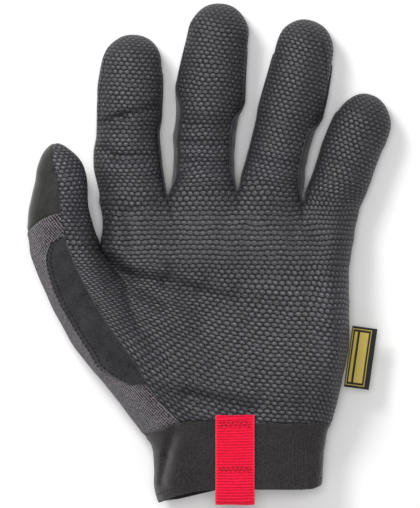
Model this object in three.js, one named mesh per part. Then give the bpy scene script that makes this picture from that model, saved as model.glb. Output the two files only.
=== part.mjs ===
// A left-hand mechanic glove, lying palm up and filled as if worn.
// The glove is one skin of rows and columns. The skin is cut along its seams into
// panels, and each panel gets an even wall on its inner side.
import * as THREE from "three";

// The hand, in millimetres
const PALM_WIDTH = 126;
const PALM_LENGTH = 111;
const PALM_HEIGHT = 36;
const INDEX_LENGTH = 80.6;
const MIDDLE_LENGTH = 93.8;
const RING_LENGTH = 89;
const LITTLE_LENGTH = 59.2;
const THUMB_LENGTH = 50;
const INDEX_WIDTH = 30.6;
const MIDDLE_WIDTH = 30.2;
const RING_WIDTH = 29.2;
const LITTLE_WIDTH = 27.8;
const THUMB_WIDTH = 32.4;
const FINGER_HEIGHT = 24;
const THUMB_HEIGHT = 27;
const THUMB_LIFT = 8.5;
const CROTCH_RADIUS = 1.7;
const FINGERTIP_LENGTH = 14;
const THUMB_TIP_LENGTH = 13;

// The cuff, the pull tab and the label
const CUFF_LENGTH = 33;
const CUFF_WIDTH = 82;
const CUFF_HEIGHT = 38;
const HEM_RISE = 0.5;
const TAB_WIDTH = 19;
const TAB_WALL = 1.3;
const TAB_ABOVE_SEAM = 3;
const TAB_LOOP = 7.6;
const TAB_INSIDE = 16;
const LABEL_WIDTH = 12.3;
const LABEL_LENGTH = 29.5;
const LABEL_WALL = 1;
const LABEL_FROM_CUFF = 17.5;

// Walls and clearances
const PALM_WALL = 1.4;
const BACK_WALL = 1.3;
const KNIT_WALL = 1.3;
const CAP_WALL = 1.5;
const SIDE_WALL = 1.1;
const CUFF_WALL = 1.8;
const PATCH_WALL = 0.9;
const SEAM_GAP = 0.36;
const LAY_GAP = 0.32;
const TAB_GAP = 0.45;

// Each line of the hand has its places as shares of the palm: down counts from
// the fingers to the cuff, across and up are shares of the palm's width and
// length from the middle of the heel, top and under are shares of its height.
const INDEX_SIDE = [
  { down: 0.0, across: -0.5651, up: 0.9632, top: 0.3, under: 0.3 },
  { down: 0.15, across: -0.5477, up: 0.8801, top: 0.32, under: 0.32 },
  { down: 0.286, across: -0.5593, up: 0.7531, top: 0.361, under: 0.361 },
];
const WEB_LINE = [
  { down: 0.286, across: -0.5593, up: 0.7531, top: 0.361, under: 0.361 },
  { down: 0.34, across: -0.5091, up: 0.683, top: 0.583, under: 0.194 },
  { down: 0.42, across: -0.459, up: 0.6086, top: 0.764, under: 0.056 },
  { down: 0.55, across: -0.3819, up: 0.4772, top: 0.875, under: 0.0 },
  { down: 0.7, across: -0.3047, up: 0.3196, top: 0.917, under: 0.0 },
  { down: 0.85, across: -0.2276, up: 0.162, top: 0.917, under: 0.0 },
  { down: 1.0, across: -0.1543, up: 0.0088, top: 0.861, under: 0.0 },
];
const INDEX_MIDDLE_LINE = [
  { down: 0.0, across: -0.2985, up: 0.9834, top: 0.556, under: 0.194 },
  { down: 0.08, across: -0.2777, up: 0.9019, top: 0.681, under: 0.069 },
  { down: 0.17, across: -0.2546, up: 0.8188, top: 0.764, under: 0.0 },
  { down: 0.3, across: -0.2237, up: 0.6918, top: 0.819, under: 0.0 },
  { down: 0.5, across: -0.162, up: 0.4948, top: 0.806, under: 0.0 },
  { down: 0.75, across: -0.0887, up: 0.2496, top: 0.875, under: 0.0 },
  { down: 1.0, across: -0.0193, up: 0.0088, top: 0.889, under: 0.0 },
];
const MIDDLE_RING_LINE = [
  { down: 0.0, across: -0.0309, up: 1.0048, top: 0.556, under: 0.194 },
  { down: 0.08, across: -0.0231, up: 0.9238, top: 0.681, under: 0.069 },
  { down: 0.17, across: -0.0116, up: 0.8319, top: 0.764, under: 0.0 },
  { down: 0.3, across: 0.0077, up: 0.7049, top: 0.792, under: 0.0 },
  { down: 0.5, across: 0.0347, up: 0.5035, top: 0.778, under: 0.0 },
  { down: 0.75, across: 0.0733, up: 0.2539, top: 0.86, under: 0.0 },
  { down: 1.0, across: 0.1157, up: 0.0, top: 0.861, under: 0.0 },
];
const RING_LITTLE_LINE = [
  { down: 0.0, across: 0.2199, up: 0.9571, top: 0.556, under: 0.194 },
  { down: 0.08, across: 0.2218, up: 0.8801, top: 0.667, under: 0.069 },
  { down: 0.17, across: 0.2237, up: 0.7969, top: 0.75, under: 0.0 },
  { down: 0.3, across: 0.2276, up: 0.6743, top: 0.819, under: 0.0 },
  { down: 0.5, across: 0.2314, up: 0.4816, top: 0.875, under: 0.0 },
  { down: 0.75, across: 0.2353, up: 0.2408, top: 0.889, under: 0.0 },
  { down: 1.0, across: 0.2353, up: -0.0022, top: 0.75, under: 0.0 },
];
const LITTLE_SIDE = [
  { down: 0.0, across: 0.4397, up: 0.9063, top: 0.306, under: 0.306 },
  { down: 0.1, across: 0.4204, up: 0.8188, top: 0.333, under: 0.333 },
  { down: 0.285, across: 0.3992, up: 0.648, top: 0.389, under: 0.389 },
  { down: 0.46, across: 0.4011, up: 0.4904, top: 0.417, under: 0.417 },
  { down: 0.65, across: 0.3973, up: 0.3196, top: 0.431, under: 0.431 },
  { down: 0.81, across: 0.3703, up: 0.1708, top: 0.444, under: 0.444 },
  { down: 0.91, across: 0.351, up: 0.0788, top: 0.444, under: 0.444 },
  { down: 1.0, across: 0.3336, up: -0.0022, top: 0.431, under: 0.431 },
];
// The outer side of the thumb's root, the seam beside the palm and the patch's edge
const THUMB_SIDE = [
  { down: 0.286, across: -0.8293, up: 0.7881, top: 0.62 },
  { down: 0.36, across: -0.8216, up: 0.7268, top: 0.58 },
  { down: 0.43, across: -0.8023, up: 0.6568, top: 0.54 },
  { down: 0.57, across: -0.7271, up: 0.4685, top: 0.49 },
  { down: 0.714, across: -0.6441, up: 0.3065, top: 0.46 },
  { down: 0.857, across: -0.54, up: 0.1664, top: 0.45 },
  { down: 1.0, across: -0.3857, up: -0.0613, top: 0.44 },
];
const THUMB_SEAM = [
  { down: 0.286, across: -0.6827, up: 0.7794 },
  { down: 0.43, across: -0.6364, up: 0.648 },
  { down: 0.57, across: -0.5554, up: 0.4729 },
  { down: 0.714, across: -0.459, up: 0.3152 },
  { down: 0.857, across: -0.3761, up: 0.1686 },
  { down: 1.0, across: -0.2507, up: 0.0066 },
];
const PATCH_EDGE = [
  { down: 0.286, part: 0.29 },
  { down: 0.36, part: 0.44 },
  { down: 0.43, part: 0.5 },
  { down: 0.5, part: 0.56 },
  { down: 0.643, part: 0.545 },
  { down: 0.714, part: 0.555 },
  { down: 0.786, part: 0.61 },
  { down: 0.857, part: 0.52 },
  { down: 1.0, part: 0.5 },
];
// Crown heights of the five rays in the palm, as shares of its height
const CROWNS = [
  { down: 0.0, index: 0.722, middle: 0.722, ring: 0.722, little: 0.68, thumb: 0.97 },
  { down: 0.15, index: 0.78, middle: 0.778, ring: 0.778, little: 0.76, thumb: 0.97 },
  { down: 0.286, index: 0.833, middle: 0.806, ring: 0.806, little: 0.84, thumb: 0.97 },
  { down: 0.5, index: 0.861, middle: 0.8, ring: 0.833, little: 0.94, thumb: 1.0 },
  { down: 0.75, index: 0.9, middle: 0.861, ring: 0.889, little: 0.944, thumb: 1.0 },
  { down: 1.0, index: 0.883, middle: 0.883, ring: 0.82, little: 0.68, thumb: 0.825 },
];

// Finger sections: along is a share of the length, side and wide are shares of
// half the width, high is a share of the finger's height.
const INDEX_SECTIONS = [
  { along: 0.0, side: -0.02, wide: 1.0, high: 1.02 },
  { along: 0.1, side: -0.11, wide: 1.06, high: 1.0 },
  { along: 0.2, side: -0.19, wide: 1.07, high: 1.0 },
  { along: 0.3, side: -0.23, wide: 1.04, high: 0.98 },
  { along: 0.4, side: -0.23, wide: 0.99, high: 0.95 },
  { along: 0.5, side: -0.21, wide: 1.02, high: 0.98 },
  { along: 0.7, side: -0.17, wide: 1.02, high: 0.98 },
  { along: 0.85, side: -0.13, wide: 0.95, high: 0.93 },
  { along: 1.0, side: -0.06, wide: 0.92, high: 0.9 },
];
const MIDDLE_SECTIONS = [
  { along: 0.0, side: 0.01, wide: 0.98, high: 1.02 },
  { along: 0.1, side: -0.02, wide: 0.97, high: 1.0 },
  { along: 0.2, side: -0.07, wide: 0.96, high: 1.0 },
  { along: 0.3, side: -0.13, wide: 0.99, high: 0.98 },
  { along: 0.4, side: -0.1, wide: 0.99, high: 0.97 },
  { along: 0.5, side: -0.07, wide: 1.09, high: 1.0 },
  { along: 0.6, side: -0.08, wide: 1.07, high: 1.0 },
  { along: 0.8, side: -0.03, wide: 0.99, high: 0.95 },
  { along: 1.0, side: 0.02, wide: 0.95, high: 0.9 },
];
const RING_SECTIONS = [
  { along: 0.0, side: 0.0, wide: 0.98, high: 1.02 },
  { along: 0.1, side: 0.02, wide: 1.02, high: 1.0 },
  { along: 0.2, side: 0.02, wide: 0.97, high: 1.0 },
  { along: 0.4, side: 0.09, wide: 0.97, high: 0.98 },
  { along: 0.5, side: 0.16, wide: 1.05, high: 1.0 },
  { along: 0.7, side: 0.22, wide: 1.02, high: 0.98 },
  { along: 0.85, side: 0.22, wide: 0.97, high: 0.93 },
  { along: 1.0, side: 0.19, wide: 0.95, high: 0.9 },
];
const LITTLE_SECTIONS = [
  { along: 0.0, side: -0.01, wide: 0.96, high: 0.98 },
  { along: 0.1, side: 0.03, wide: 0.99, high: 0.96 },
  { along: 0.3, side: 0.1, wide: 0.99, high: 0.94 },
  { along: 0.5, side: 0.13, wide: 1.0, high: 0.94 },
  { along: 0.7, side: 0.22, wide: 1.02, high: 0.92 },
  { along: 0.85, side: 0.26, wide: 0.95, high: 0.9 },
  { along: 1.0, side: 0.22, wide: 0.9, high: 0.86 },
];
const THUMB_SECTIONS = [
  { along: 0.0, side: -0.05, wide: 1.02, high: 1.0, seam: 6 },
  { along: 0.2, side: -0.09, wide: 0.97, high: 0.99, seam: 6 },
  { along: 0.4, side: -0.07, wide: 0.88, high: 0.97, seam: 4 },
  { along: 0.6, side: 0.04, wide: 0.81, high: 0.93, seam: -3 },
  { along: 0.8, side: 0.12, wide: 0.73, high: 0.88, seam: -16 },
  { along: 1.0, side: 0.04, wide: 0.64, high: 0.8, seam: -22 },
];
// Cuff sections, as shares of its length, half width and height
const CUFF_SECTIONS = [
  { along: 0.0, left: -1.12, right: 1.025, high: 0.87 },
  { along: 0.12, left: -1.03, right: 0.98, high: 0.86 },
  { along: 0.4, left: -0.985, right: 0.95, high: 0.93 },
  { along: 0.75, left: -0.98, right: 0.935, high: 0.98 },
  { along: 1.0, left: -0.945, right: 0.92, high: 1.0 },
];
// The mouth's edge, as shares of the cuff's length: front faces up, back lies down
const MOUTH = [
  { across: 0.0, front: 1.18, back: 1.18 },
  { across: 0.1, front: 1.07, back: 1.16 },
  { across: 0.25, front: 0.98, back: 1.08 },
  { across: 0.4, front: 0.955, back: 1.0 },
  { across: 0.7, front: 0.96, back: 0.94 },
  { across: 0.93, front: 0.965, back: 0.92 },
  { across: 1.0, front: 0.92, back: 0.92 },
];
// The main folds: places are shares of the palm, depth and width of its height
const FOLDS = [
  { fromX: -0.56, fromY: 0.75, toX: -0.45, toY: 0.64, width: 0.12, depth: -0.045 },
  { fromX: -0.42, fromY: 0.655, toX: -0.05, toY: 0.585, width: 0.16, depth: 0.04 },
  { fromX: -0.3, fromY: 0.56, toX: 0.12, toY: 0.52, width: 0.2, depth: -0.03 },
  { fromX: -0.22, fromY: 0.09, toX: 0.02, toY: 0.05, width: 0.16, depth: -0.05 },
];

const FINGER_ROWS = 7;
const PALM_ROWS = 14;
const WEB_ROW = 4;
const PATCH_LAST_ROW = 12;
const TOP_COLUMNS = 8;
const UNDER_COLUMNS = 6;
const CUFF_ROWS = 5;
const DEGREE = Math.PI / 180;

// Smooth value of a table's column, with the tangents of its neighbouring rows.
function read(table, key, column, at) {
  const last = table.length - 1;
  let i = 0;
  while (i < last - 1 && at > table[i + 1][key]) i += 1;
  const a = table[i];
  const b = table[i + 1];
  const before = table[Math.max(i - 1, 0)];
  const after = table[Math.min(i + 2, last)];
  const span = b[key] - a[key];
  const t = Math.min(1, Math.max(0, (at - a[key]) / span));
  const slopeA = ((b[column] - before[column]) / (b[key] - before[key])) * span;
  const slopeB = ((after[column] - a[column]) / (after[key] - a[key])) * span;
  const t2 = t * t;
  const t3 = t2 * t;
  return (
    a[column] * (2 * t3 - 3 * t2 + 1) +
    slopeA * (t3 - 2 * t2 + t) +
    b[column] * (3 * t2 - 2 * t3) +
    slopeB * (t3 - t2)
  );
}

const mix = (a, b, t) => a + (b - a) * t;
const ramp = (a, b, x) => {
  const t = Math.min(1, Math.max(0, (x - a) / (b - a)));
  return t * t * (3 - 2 * t);
};

function foldHeight(x, y) {
  let sum = 0;
  for (const f of FOLDS) {
    const ax = f.fromX * PALM_WIDTH;
    const ay = f.fromY * PALM_LENGTH;
    const dx = f.toX * PALM_WIDTH - ax;
    const dy = f.toY * PALM_LENGTH - ay;
    const t = Math.min(1, Math.max(0, ((x - ax) * dx + (y - ay) * dy) / (dx * dx + dy * dy)));
    const away = Math.hypot(x - ax - dx * t, y - ay - dy * t) / (f.width * PALM_HEIGHT);
    sum += f.depth * PALM_HEIGHT * Math.exp(-away * away);
  }
  return sum;
}

// A point of one of the palm's lines, on its upper or its under side.
function linePoint(line, down, side) {
  const x = read(line, "down", "across", down) * PALM_WIDTH;
  const y = read(line, "down", "up", down) * PALM_LENGTH;
  const z = Math.max(0, read(line, "down", side, down) * PALM_HEIGHT);
  return new THREE.Vector3(x, y, z);
}

// Half a section from its crown to its edge: q runs 0 to 1, round is 1 on a tube
// and 0 where two rays of the palm meet, angle is the edge's angle from the crown.
function halfSection(crown, edge, q, angle, round) {
  const a = angle * DEGREE;
  const sideways = mix(q, Math.sin(q * a) / Math.sin(a), round);
  const flat = (1 + Math.cos(Math.PI * q)) / 2;
  const arc = (Math.cos(q * a) - Math.cos(a)) / (1 - Math.cos(a));
  const height = mix(flat, arc, round);
  return new THREE.Vector3(
    mix(crown.x, edge.x, sideways),
    mix(crown.y, edge.y, sideways),
    Math.max(0, edge.z + (crown.z - edge.z) * height),
  );
}

const skin = [];
const quads = [];
const pool = new Map();

function addPoint(p) {
  const key = `${p.x.toFixed(4)},${p.y.toFixed(4)},${p.z.toFixed(4)}`;
  if (!pool.has(key)) {
    pool.set(key, skin.length);
    skin.push(p.clone());
  }
  return pool.get(key);
}

// Faces between two rows of points; equal corners make a triangle.
function addRows(panel, rowA, rowB, layFrom = Infinity) {
  for (let i = 0; i + 1 < rowA.length; i += 1) {
    const corners = [rowA[i], rowB[i], rowB[i + 1], rowA[i + 1]].map(addPoint);
    const own = corners.filter((c, n) => c !== corners[(n + 1) % 4]);
    if (own.length > 2) quads.push({ panel, corners: own, patch: i >= layFrom });
  }
}

function columns(count, make) {
  return Array.from({ length: count + 1 }, (_, i) => make(i / count));
}

// Upper half of a ring from its left edge over the crown to its right edge.
function overSection(left, crown, right, angles, rounds, count) {
  const half = count / 2;
  const a = columns(half, (t) => halfSection(crown, left, 1 - t, angles[0], rounds[0]));
  const b = columns(half, (t) => halfSection(crown, right, t, angles[1], rounds[1]));
  return a.concat(b.slice(1));
}

// One finger: its name, lines, length, sections, edge angles and seam partners.
const FINGERS = [
  {
    name: "index",
    left: INDEX_SIDE,
    right: INDEX_MIDDLE_LINE,
    length: INDEX_LENGTH,
    width: INDEX_WIDTH,
    turn: -1.3,
    sections: INDEX_SECTIONS,
    edges: [100, 74],
    notches: [0, 0.44],
    sides: ["", "index_middle_fourchette"],
  },
  {
    name: "middle",
    left: INDEX_MIDDLE_LINE,
    right: MIDDLE_RING_LINE,
    length: MIDDLE_LENGTH,
    width: MIDDLE_WIDTH,
    turn: -5.85,
    sections: MIDDLE_SECTIONS,
    edges: [50, 54],
    notches: [0.5, 0.42],
    sides: ["index_middle_fourchette", "middle_ring_fourchette"],
  },
  {
    name: "ring",
    left: MIDDLE_RING_LINE,
    right: RING_LITTLE_LINE,
    length: RING_LENGTH,
    width: RING_WIDTH,
    turn: -10.8,
    sections: RING_SECTIONS,
    edges: [86, 47],
    notches: [0.46, 0.42],
    sides: ["middle_ring_fourchette", "ring_little_fourchette"],
  },
  {
    name: "little",
    left: RING_LITTLE_LINE,
    right: LITTLE_SIDE,
    length: LITTLE_LENGTH,
    width: LITTLE_WIDTH,
    turn: -16.2,
    sections: LITTLE_SECTIONS,
    edges: [78, 100],
    notches: [0.46, 0],
    sides: ["ring_little_fourchette", ""],
  },
];
const STRIP_END = 0.78;
const STRIP_TAPER = 0.6;
const STRIP_END_ANGLE = 112;
const UNDER_EDGE = 128;
const SINK = 1.2;

// The ring of a finger at a distance along its axis, in five runs of points.
function fingerRing(f, row) {
  const baseA = linePoint(f.left, 0, "top");
  const baseB = linePoint(f.right, 0, "top");
  const lowA = linePoint(f.left, 0, "under");
  const lowB = linePoint(f.right, 0, "under");
  const base = baseA.clone().add(baseB).multiplyScalar(0.5);
  const axis = new THREE.Vector2(-Math.sin(f.turn * DEGREE), Math.cos(f.turn * DEGREE));
  const across = new THREE.Vector2(axis.y, -axis.x);
  const settle = Math.max(0, 1 - row.at / (f.length - FINGERTIP_LENGTH));
  const share = row.at / f.length;
  const grow = row.round;
  const half = (f.width / 2) * read(f.sections, "along", "wide", share) * grow;
  const offset = (f.width / 2) * read(f.sections, "along", "side", share);
  const tall = (FINGER_HEIGHT / 2) * read(f.sections, "along", "high", share);
  const drop = Math.cos(STRIP_END_ANGLE * DEGREE);
  const middle = tall + drop * tall * (1 - grow);
  const fade = 1 - ramp(0, 0.22, share);

  function edge(sign, own, low, crotch) {
    const skew = new THREE.Vector2(own.x - base.x, own.y - base.y);
    const s = row.at + skew.dot(axis) * settle;
    const start = sign * skew.dot(across);
    const inset = crotch ? CROTCH_RADIUS : 0;
    const rest = Math.max(0, 1 - row.at / CROTCH_RADIUS);
    const flare = (1 - Math.sqrt(1 - rest * rest)) * inset;
    const body = sign * offset + half;
    const reach = mix(start - inset, body, ramp(0, 0.1, share)) + flare;
    return { s, reach: sign * (row.at === 0 ? start : reach), own, low };
  }
  const ends = [edge(-1, baseA, lowA, f.sides[0]), edge(1, baseB, lowB, f.sides[1])];
  const place = (s, r, z) =>
    new THREE.Vector3(base.x + axis.x * s + across.x * r, base.y + axis.y * s + across.y * r, z);
  const crownTop = place(
    (ends[0].s + ends[1].s) / 2,
    (ends[0].reach + ends[1].reach) / 2,
    mix(middle + tall * grow, read(CROWNS, "down", f.name, 0) * PALM_HEIGHT, fade),
  );
  const crownUnder = crownTop.clone().setZ(Math.max(0, middle - (tall + SINK) * grow));

  const result = { sides: [] };
  const tops = [];
  const unders = [];
  const angles = [];
  const underAngles = [];
  ends.forEach((e, n) => {
    const wide = Math.abs(e.reach - (ends[0].reach + ends[1].reach) / 2);
    const notch = f.notches[n];
    let angle = f.edges[n];
    let underAngle = f.sides[n] ? UNDER_EDGE : f.edges[n];
    if (f.sides[n]) {
      angle = mix(angle, 100, ramp(notch - 0.02, notch + 0.06, share));
      const closing = ramp(notch, STRIP_END, share);
      angle = mix(angle, STRIP_END_ANGLE, closing * closing * STRIP_TAPER);
      underAngle = mix(underAngle, STRIP_END_ANGLE, closing * STRIP_TAPER);
      if (share >= STRIP_END) angle = STRIP_END_ANGLE;
    } else {
      angle = mix(angle, STRIP_END_ANGLE, ramp(0.4, STRIP_END, share));
      underAngle = angle;
    }
    const sign = n === 0 ? -1 : 1;
    const middleR = (ends[0].reach + ends[1].reach) / 2;
    const reachTop = mix(sign * wide * Math.sin(angle * DEGREE), sign * wide, fade ** 3);
    const reachUnder = mix(sign * wide * Math.sin(underAngle * DEGREE), sign * wide, fade ** 3);
    const hangTop = middle + tall * grow * Math.cos(angle * DEGREE);
    const hangUnder = Math.max(0, middle + (tall + SINK * 0.3) * grow * Math.cos(underAngle * DEGREE));
    const top = row.at === 0 ? e.own.clone() : place(e.s, middleR + reachTop, mix(hangTop, e.own.z, fade));
    const under = row.at === 0 ? e.low.clone() : place(e.s, middleR + reachUnder, mix(hangUnder, e.low.z, fade));
    if (!f.sides[n]) under.copy(top);
    tops.push(top);
    unders.push(under);
    angles.push(mix(angle, 80, fade));
    underAngles.push(mix(180 - underAngle, 80, fade));
    const belly = place(
      e.s,
      middleR + sign * wide * mix(Math.sin(((angle + underAngle) / 2) * DEGREE), 1, fade ** 3),
      mix(middle + tall * grow * Math.cos(((angle + underAngle) / 2) * DEGREE), (top.z + under.z) / 2, fade),
    );
    if (row.at === 0) belly.copy(top).add(under).multiplyScalar(0.5);
    result.sides.push(share >= STRIP_END ? [top, top, top] : [top, belly, under]);
    result.closed = share >= STRIP_END;
  });
  if (share >= STRIP_END) unders.forEach((u, n) => u.copy(tops[n]));
  result.top = overSection(tops[0], crownTop, tops[1], angles, [1, 1], TOP_COLUMNS);
  result.under = overSection(unders[0], crownUnder, unders[1], underAngles, [1, 1], UNDER_COLUMNS);
  return result;
}

function fingerStops(length) {
  const body = length - FINGERTIP_LENGTH;
  const stops = [0, CROTCH_RADIUS * 0.45, CROTCH_RADIUS * 1.8].map((at) => ({ at, round: 1, side: {} }));
  const start = CROTCH_RADIUS * 1.8;
  for (let i = 1; i <= FINGER_ROWS; i += 1) stops.push({ at: mix(start, body, i / FINGER_ROWS), round: 1, side: {} });
  for (const angle of [62, 40, 20, 0]) {
    const at = length - FINGERTIP_LENGTH * (1 - Math.cos(angle * DEGREE));
    stops.push({ at, round: Math.sin(angle * DEGREE), side: {} });
  }
  return stops;
}

for (const f of FINGERS) {
  let past = null;
  for (const stop of fingerStops(f.length)) {
    const ring = fingerRing(f, stop);
    if (past) {
      addRows("palm_panel", ring.top, past.top);
      addRows("back_panel", past.under, ring.under);
      const panels = f.sides.map((side) => (side && ring.closed ? "palm_panel" : side));
      if (f.sides[0]) addRows(panels[0], past.sides[0], ring.sides[0]);
      if (f.sides[1]) addRows(panels[1], ring.sides[1], past.sides[1]);
    }
    past = ring;
  }
}

// Rows of the palm, from the fingers' bases to the cuff
function palmRow(j) {
  const down = j / PALM_ROWS;
  const web = j <= WEB_ROW ? INDEX_SIDE : WEB_LINE;
  const lines = [web, INDEX_MIDDLE_LINE, MIDDLE_RING_LINE, RING_LITTLE_LINE, LITTLE_SIDE];
  const names = ["index", "middle", "ring", "little"];
  const outer = j <= WEB_ROW ? 1 : 1 - ramp(WEB_ROW, WEB_ROW + 3, j);
  const meet = 1 - ramp(0, 3.5, j);
  const top = [];
  const under = [];
  names.forEach((name, n) => {
    const leftTop = linePoint(lines[n], down, "top");
    const rightTop = linePoint(lines[n + 1], down, "top");
    const leftUnder = linePoint(lines[n], down, "under");
    const rightUnder = linePoint(lines[n + 1], down, "under");
    const crown = leftTop.clone().add(rightTop).multiplyScalar(0.5);
    crown.z = read(CROWNS, "down", name, down) * PALM_HEIGHT;
    const low = crown.clone().setZ(0);
    const rounds = [n === 0 ? outer : meet, n === 3 ? 1 : meet];
    const angles = [n === 0 && j <= WEB_ROW ? mix(80, 96, ramp(0, 2, j)) : 80, n === 3 ? mix(80, 96, ramp(0, 2, j)) : 80];
    const upper = overSection(leftTop, crown, rightTop, angles, rounds, TOP_COLUMNS);
    const lower = overSection(leftUnder, low, rightUnder, [80, 80], rounds, UNDER_COLUMNS);
    top.push(...(n === 0 ? upper : upper.slice(1)));
    under.push(...(n === 0 ? lower : lower.slice(1)));
  });
  return { top, under };
}

// Rows of the thumb: a closed ring above the web, an open one beside the palm.
// Runs: knit under, knit side, patch, seam to crown, palm side, and palm under.
const KNIT_UNDER = 3;
const KNIT_SIDE = 2;
const PATCH_COLUMNS = 3;
const PALM_SIDE = 3;
const PALM_UNDER = 3;
const UNDER_SEAM = 196;
const WEB_ANGLE = 104;

function thumbFrame() {
  const a = linePoint(THUMB_SIDE_FULL, 0.286, "top");
  const b = linePoint(WEB_LINE, 0.286, "top");
  const base = a.clone().add(b).multiplyScalar(0.5);
  const turn = 4.5 * DEGREE;
  const axis = new THREE.Vector2(-Math.sin(turn), Math.cos(turn));
  const across = new THREE.Vector2(axis.y, -axis.x);
  return { a, b, base, axis, across };
}
const THUMB_SIDE_FULL = THUMB_SIDE.map((r) => ({ ...r, under: r.top }));

// Where each row of the thumb crosses its crown, outer side, underside and inner side
const THUMB_ROWS = [
  { crown: 0.0, outer: 0.03, under: 0.0, inner: -0.06 },
  { crown: 0.08, outer: 0.08, under: 0.07, inner: 0.06, patch: 0.05 },
  { crown: 0.2, outer: 0.12, under: 0.14, inner: 0.18 },
  { crown: 0.31, outer: 0.17, under: 0.2, inner: 0.3 },
  { crown: 0.42, outer: 0.31, under: 0.33, inner: 0.42 },
  { crown: 0.54, outer: 0.45, under: 0.47, inner: 0.54 },
  { crown: 0.66, outer: 0.6, under: 0.61, inner: 0.66 },
];
const CAP_ROW = 3;
const WEB_BLEND_ROWS = 3;

function thumbPoint(frame, s, angle, round, flatten) {
  const half = (THUMB_WIDTH / 2) * read(THUMB_SECTIONS, "along", "wide", s) * round;
  const side = (THUMB_WIDTH / 2) * read(THUMB_SECTIONS, "along", "side", s);
  const tall = (THUMB_HEIGHT / 2) * read(THUMB_SECTIONS, "along", "high", s) * round;
  const r = side + half * Math.sin(angle * DEGREE);
  const z = THUMB_LIFT + THUMB_HEIGHT / 2 + tall * Math.cos(angle * DEGREE) * flatten;
  const t = s * THUMB_LENGTH;
  return new THREE.Vector3(
    frame.base.x + frame.axis.x * t + frame.across.x * r,
    frame.base.y + frame.axis.y * t + frame.across.y * r,
    z,
  );
}

function thumbRing(frame, row, round) {
  const seam = read(THUMB_SECTIONS, "along", "seam", row.crown);
  const at = (angle) => {
    const c = Math.cos(angle * DEGREE);
    const n = Math.sin(angle * DEGREE);
    const up = c > 0 ? row.crown : row.under;
    const over = n > 0 ? row.inner : row.outer;
    return thumbPoint(frame, up * c * c + over * n * n, angle, round, 1);
  };
  const edge = mix(seam, -90, row.patch ?? 0.3);
  const knit = [
    ...columns(KNIT_UNDER, (t) => at(mix(UNDER_SEAM - 360, -90, t))),
    ...columns(KNIT_SIDE, (t) => at(mix(-90, edge, t))).slice(1),
    ...columns(PATCH_COLUMNS, (t) => at(mix(edge, seam, t))).slice(1),
  ];
  const palm = [
    at(seam),
    at(mix(seam, WEB_ANGLE, 0.22)),
    ...columns(PALM_SIDE, (t) => at(mix(mix(seam, WEB_ANGLE, 0.22), WEB_ANGLE, t))).slice(1),
    ...columns(PALM_UNDER, (t) => at(mix(WEB_ANGLE, UNDER_SEAM, t))).slice(1),
  ];
  return { knit, palm };
}

function thumbRow(frame, j) {
  const down = j / PALM_ROWS;
  const side = linePoint(THUMB_SIDE_FULL, down, "top");
  const rightTop = linePoint(WEB_LINE, down, "top");
  const rightUnder = linePoint(WEB_LINE, down, "under");
  const seamX = read(THUMB_SEAM, "down", "across", down) * PALM_WIDTH;
  const seamY = read(THUMB_SEAM, "down", "up", down) * PALM_LENGTH;
  const crown = new THREE.Vector3(
    mix(seamX, rightTop.x, 0.22),
    mix(seamY, rightTop.y, 0.22),
    read(CROWNS, "down", "thumb", down) * PALM_HEIGHT,
  );
  const lowLift = THUMB_LIFT * (1 - ramp(WEB_ROW - 1, WEB_ROW + 4, j));
  const low = new THREE.Vector3(mix(side.x, rightUnder.x, 0.5), mix(side.y, rightUnder.y, 0.5), lowLift);
  const sink = (SINK * (THUMB_LIFT - lowLift)) / THUMB_LIFT;
  const reach = Math.hypot(crown.x - side.x, crown.y - side.y);
  const seamAway = Math.hypot(crown.x - seamX, crown.y - seamY);
  const seamAngle = Math.asin(Math.min(1, seamAway / reach)) / DEGREE;
  const part = read(PATCH_EDGE, "down", "part", down);
  const edgeAngle = mix(seamAngle, 90, part);
  const upper = (angle) => {
    const n = Math.sin(angle * DEGREE);
    const c = Math.cos(angle * DEGREE);
    return new THREE.Vector3(
      mix(crown.x, side.x, n),
      mix(crown.y, side.y, n),
      mix(side.z, crown.z, c),
    );
  };
  const lower = (angle) => {
    const n = Math.sin(angle * DEGREE);
    const c = Math.cos(angle * DEGREE);
    const z = mix(side.z, low.z - sink, c);
    return new THREE.Vector3(mix(low.x, side.x, n), mix(low.y, side.y, n), Math.max(0, z));
  };
  const webRound = 1 - ramp(WEB_ROW, WEB_ROW + 3, j);
  const knit = [
    ...columns(KNIT_UNDER, (t) => lower(mix(0, 90, t))),
    ...columns(KNIT_SIDE, (t) => upper(mix(90, edgeAngle, t))).slice(1),
    ...columns(PATCH_COLUMNS, (t) => upper(mix(edgeAngle, seamAngle, t))).slice(1),
  ];
  const palmTop = [
    upper(seamAngle),
    crown,
    ...columns(PALM_SIDE, (t) => halfSection(crown, rightTop, t, WEB_ANGLE, webRound)).slice(1),
  ];
  const lowEnd = low.clone().setZ(Math.max(0, low.z - sink));
  const under = columns(PALM_UNDER, (t) => halfSection(lowEnd, rightUnder, 1 - t, 80, webRound));
  return { knit, palmTop, under };
}

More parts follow.
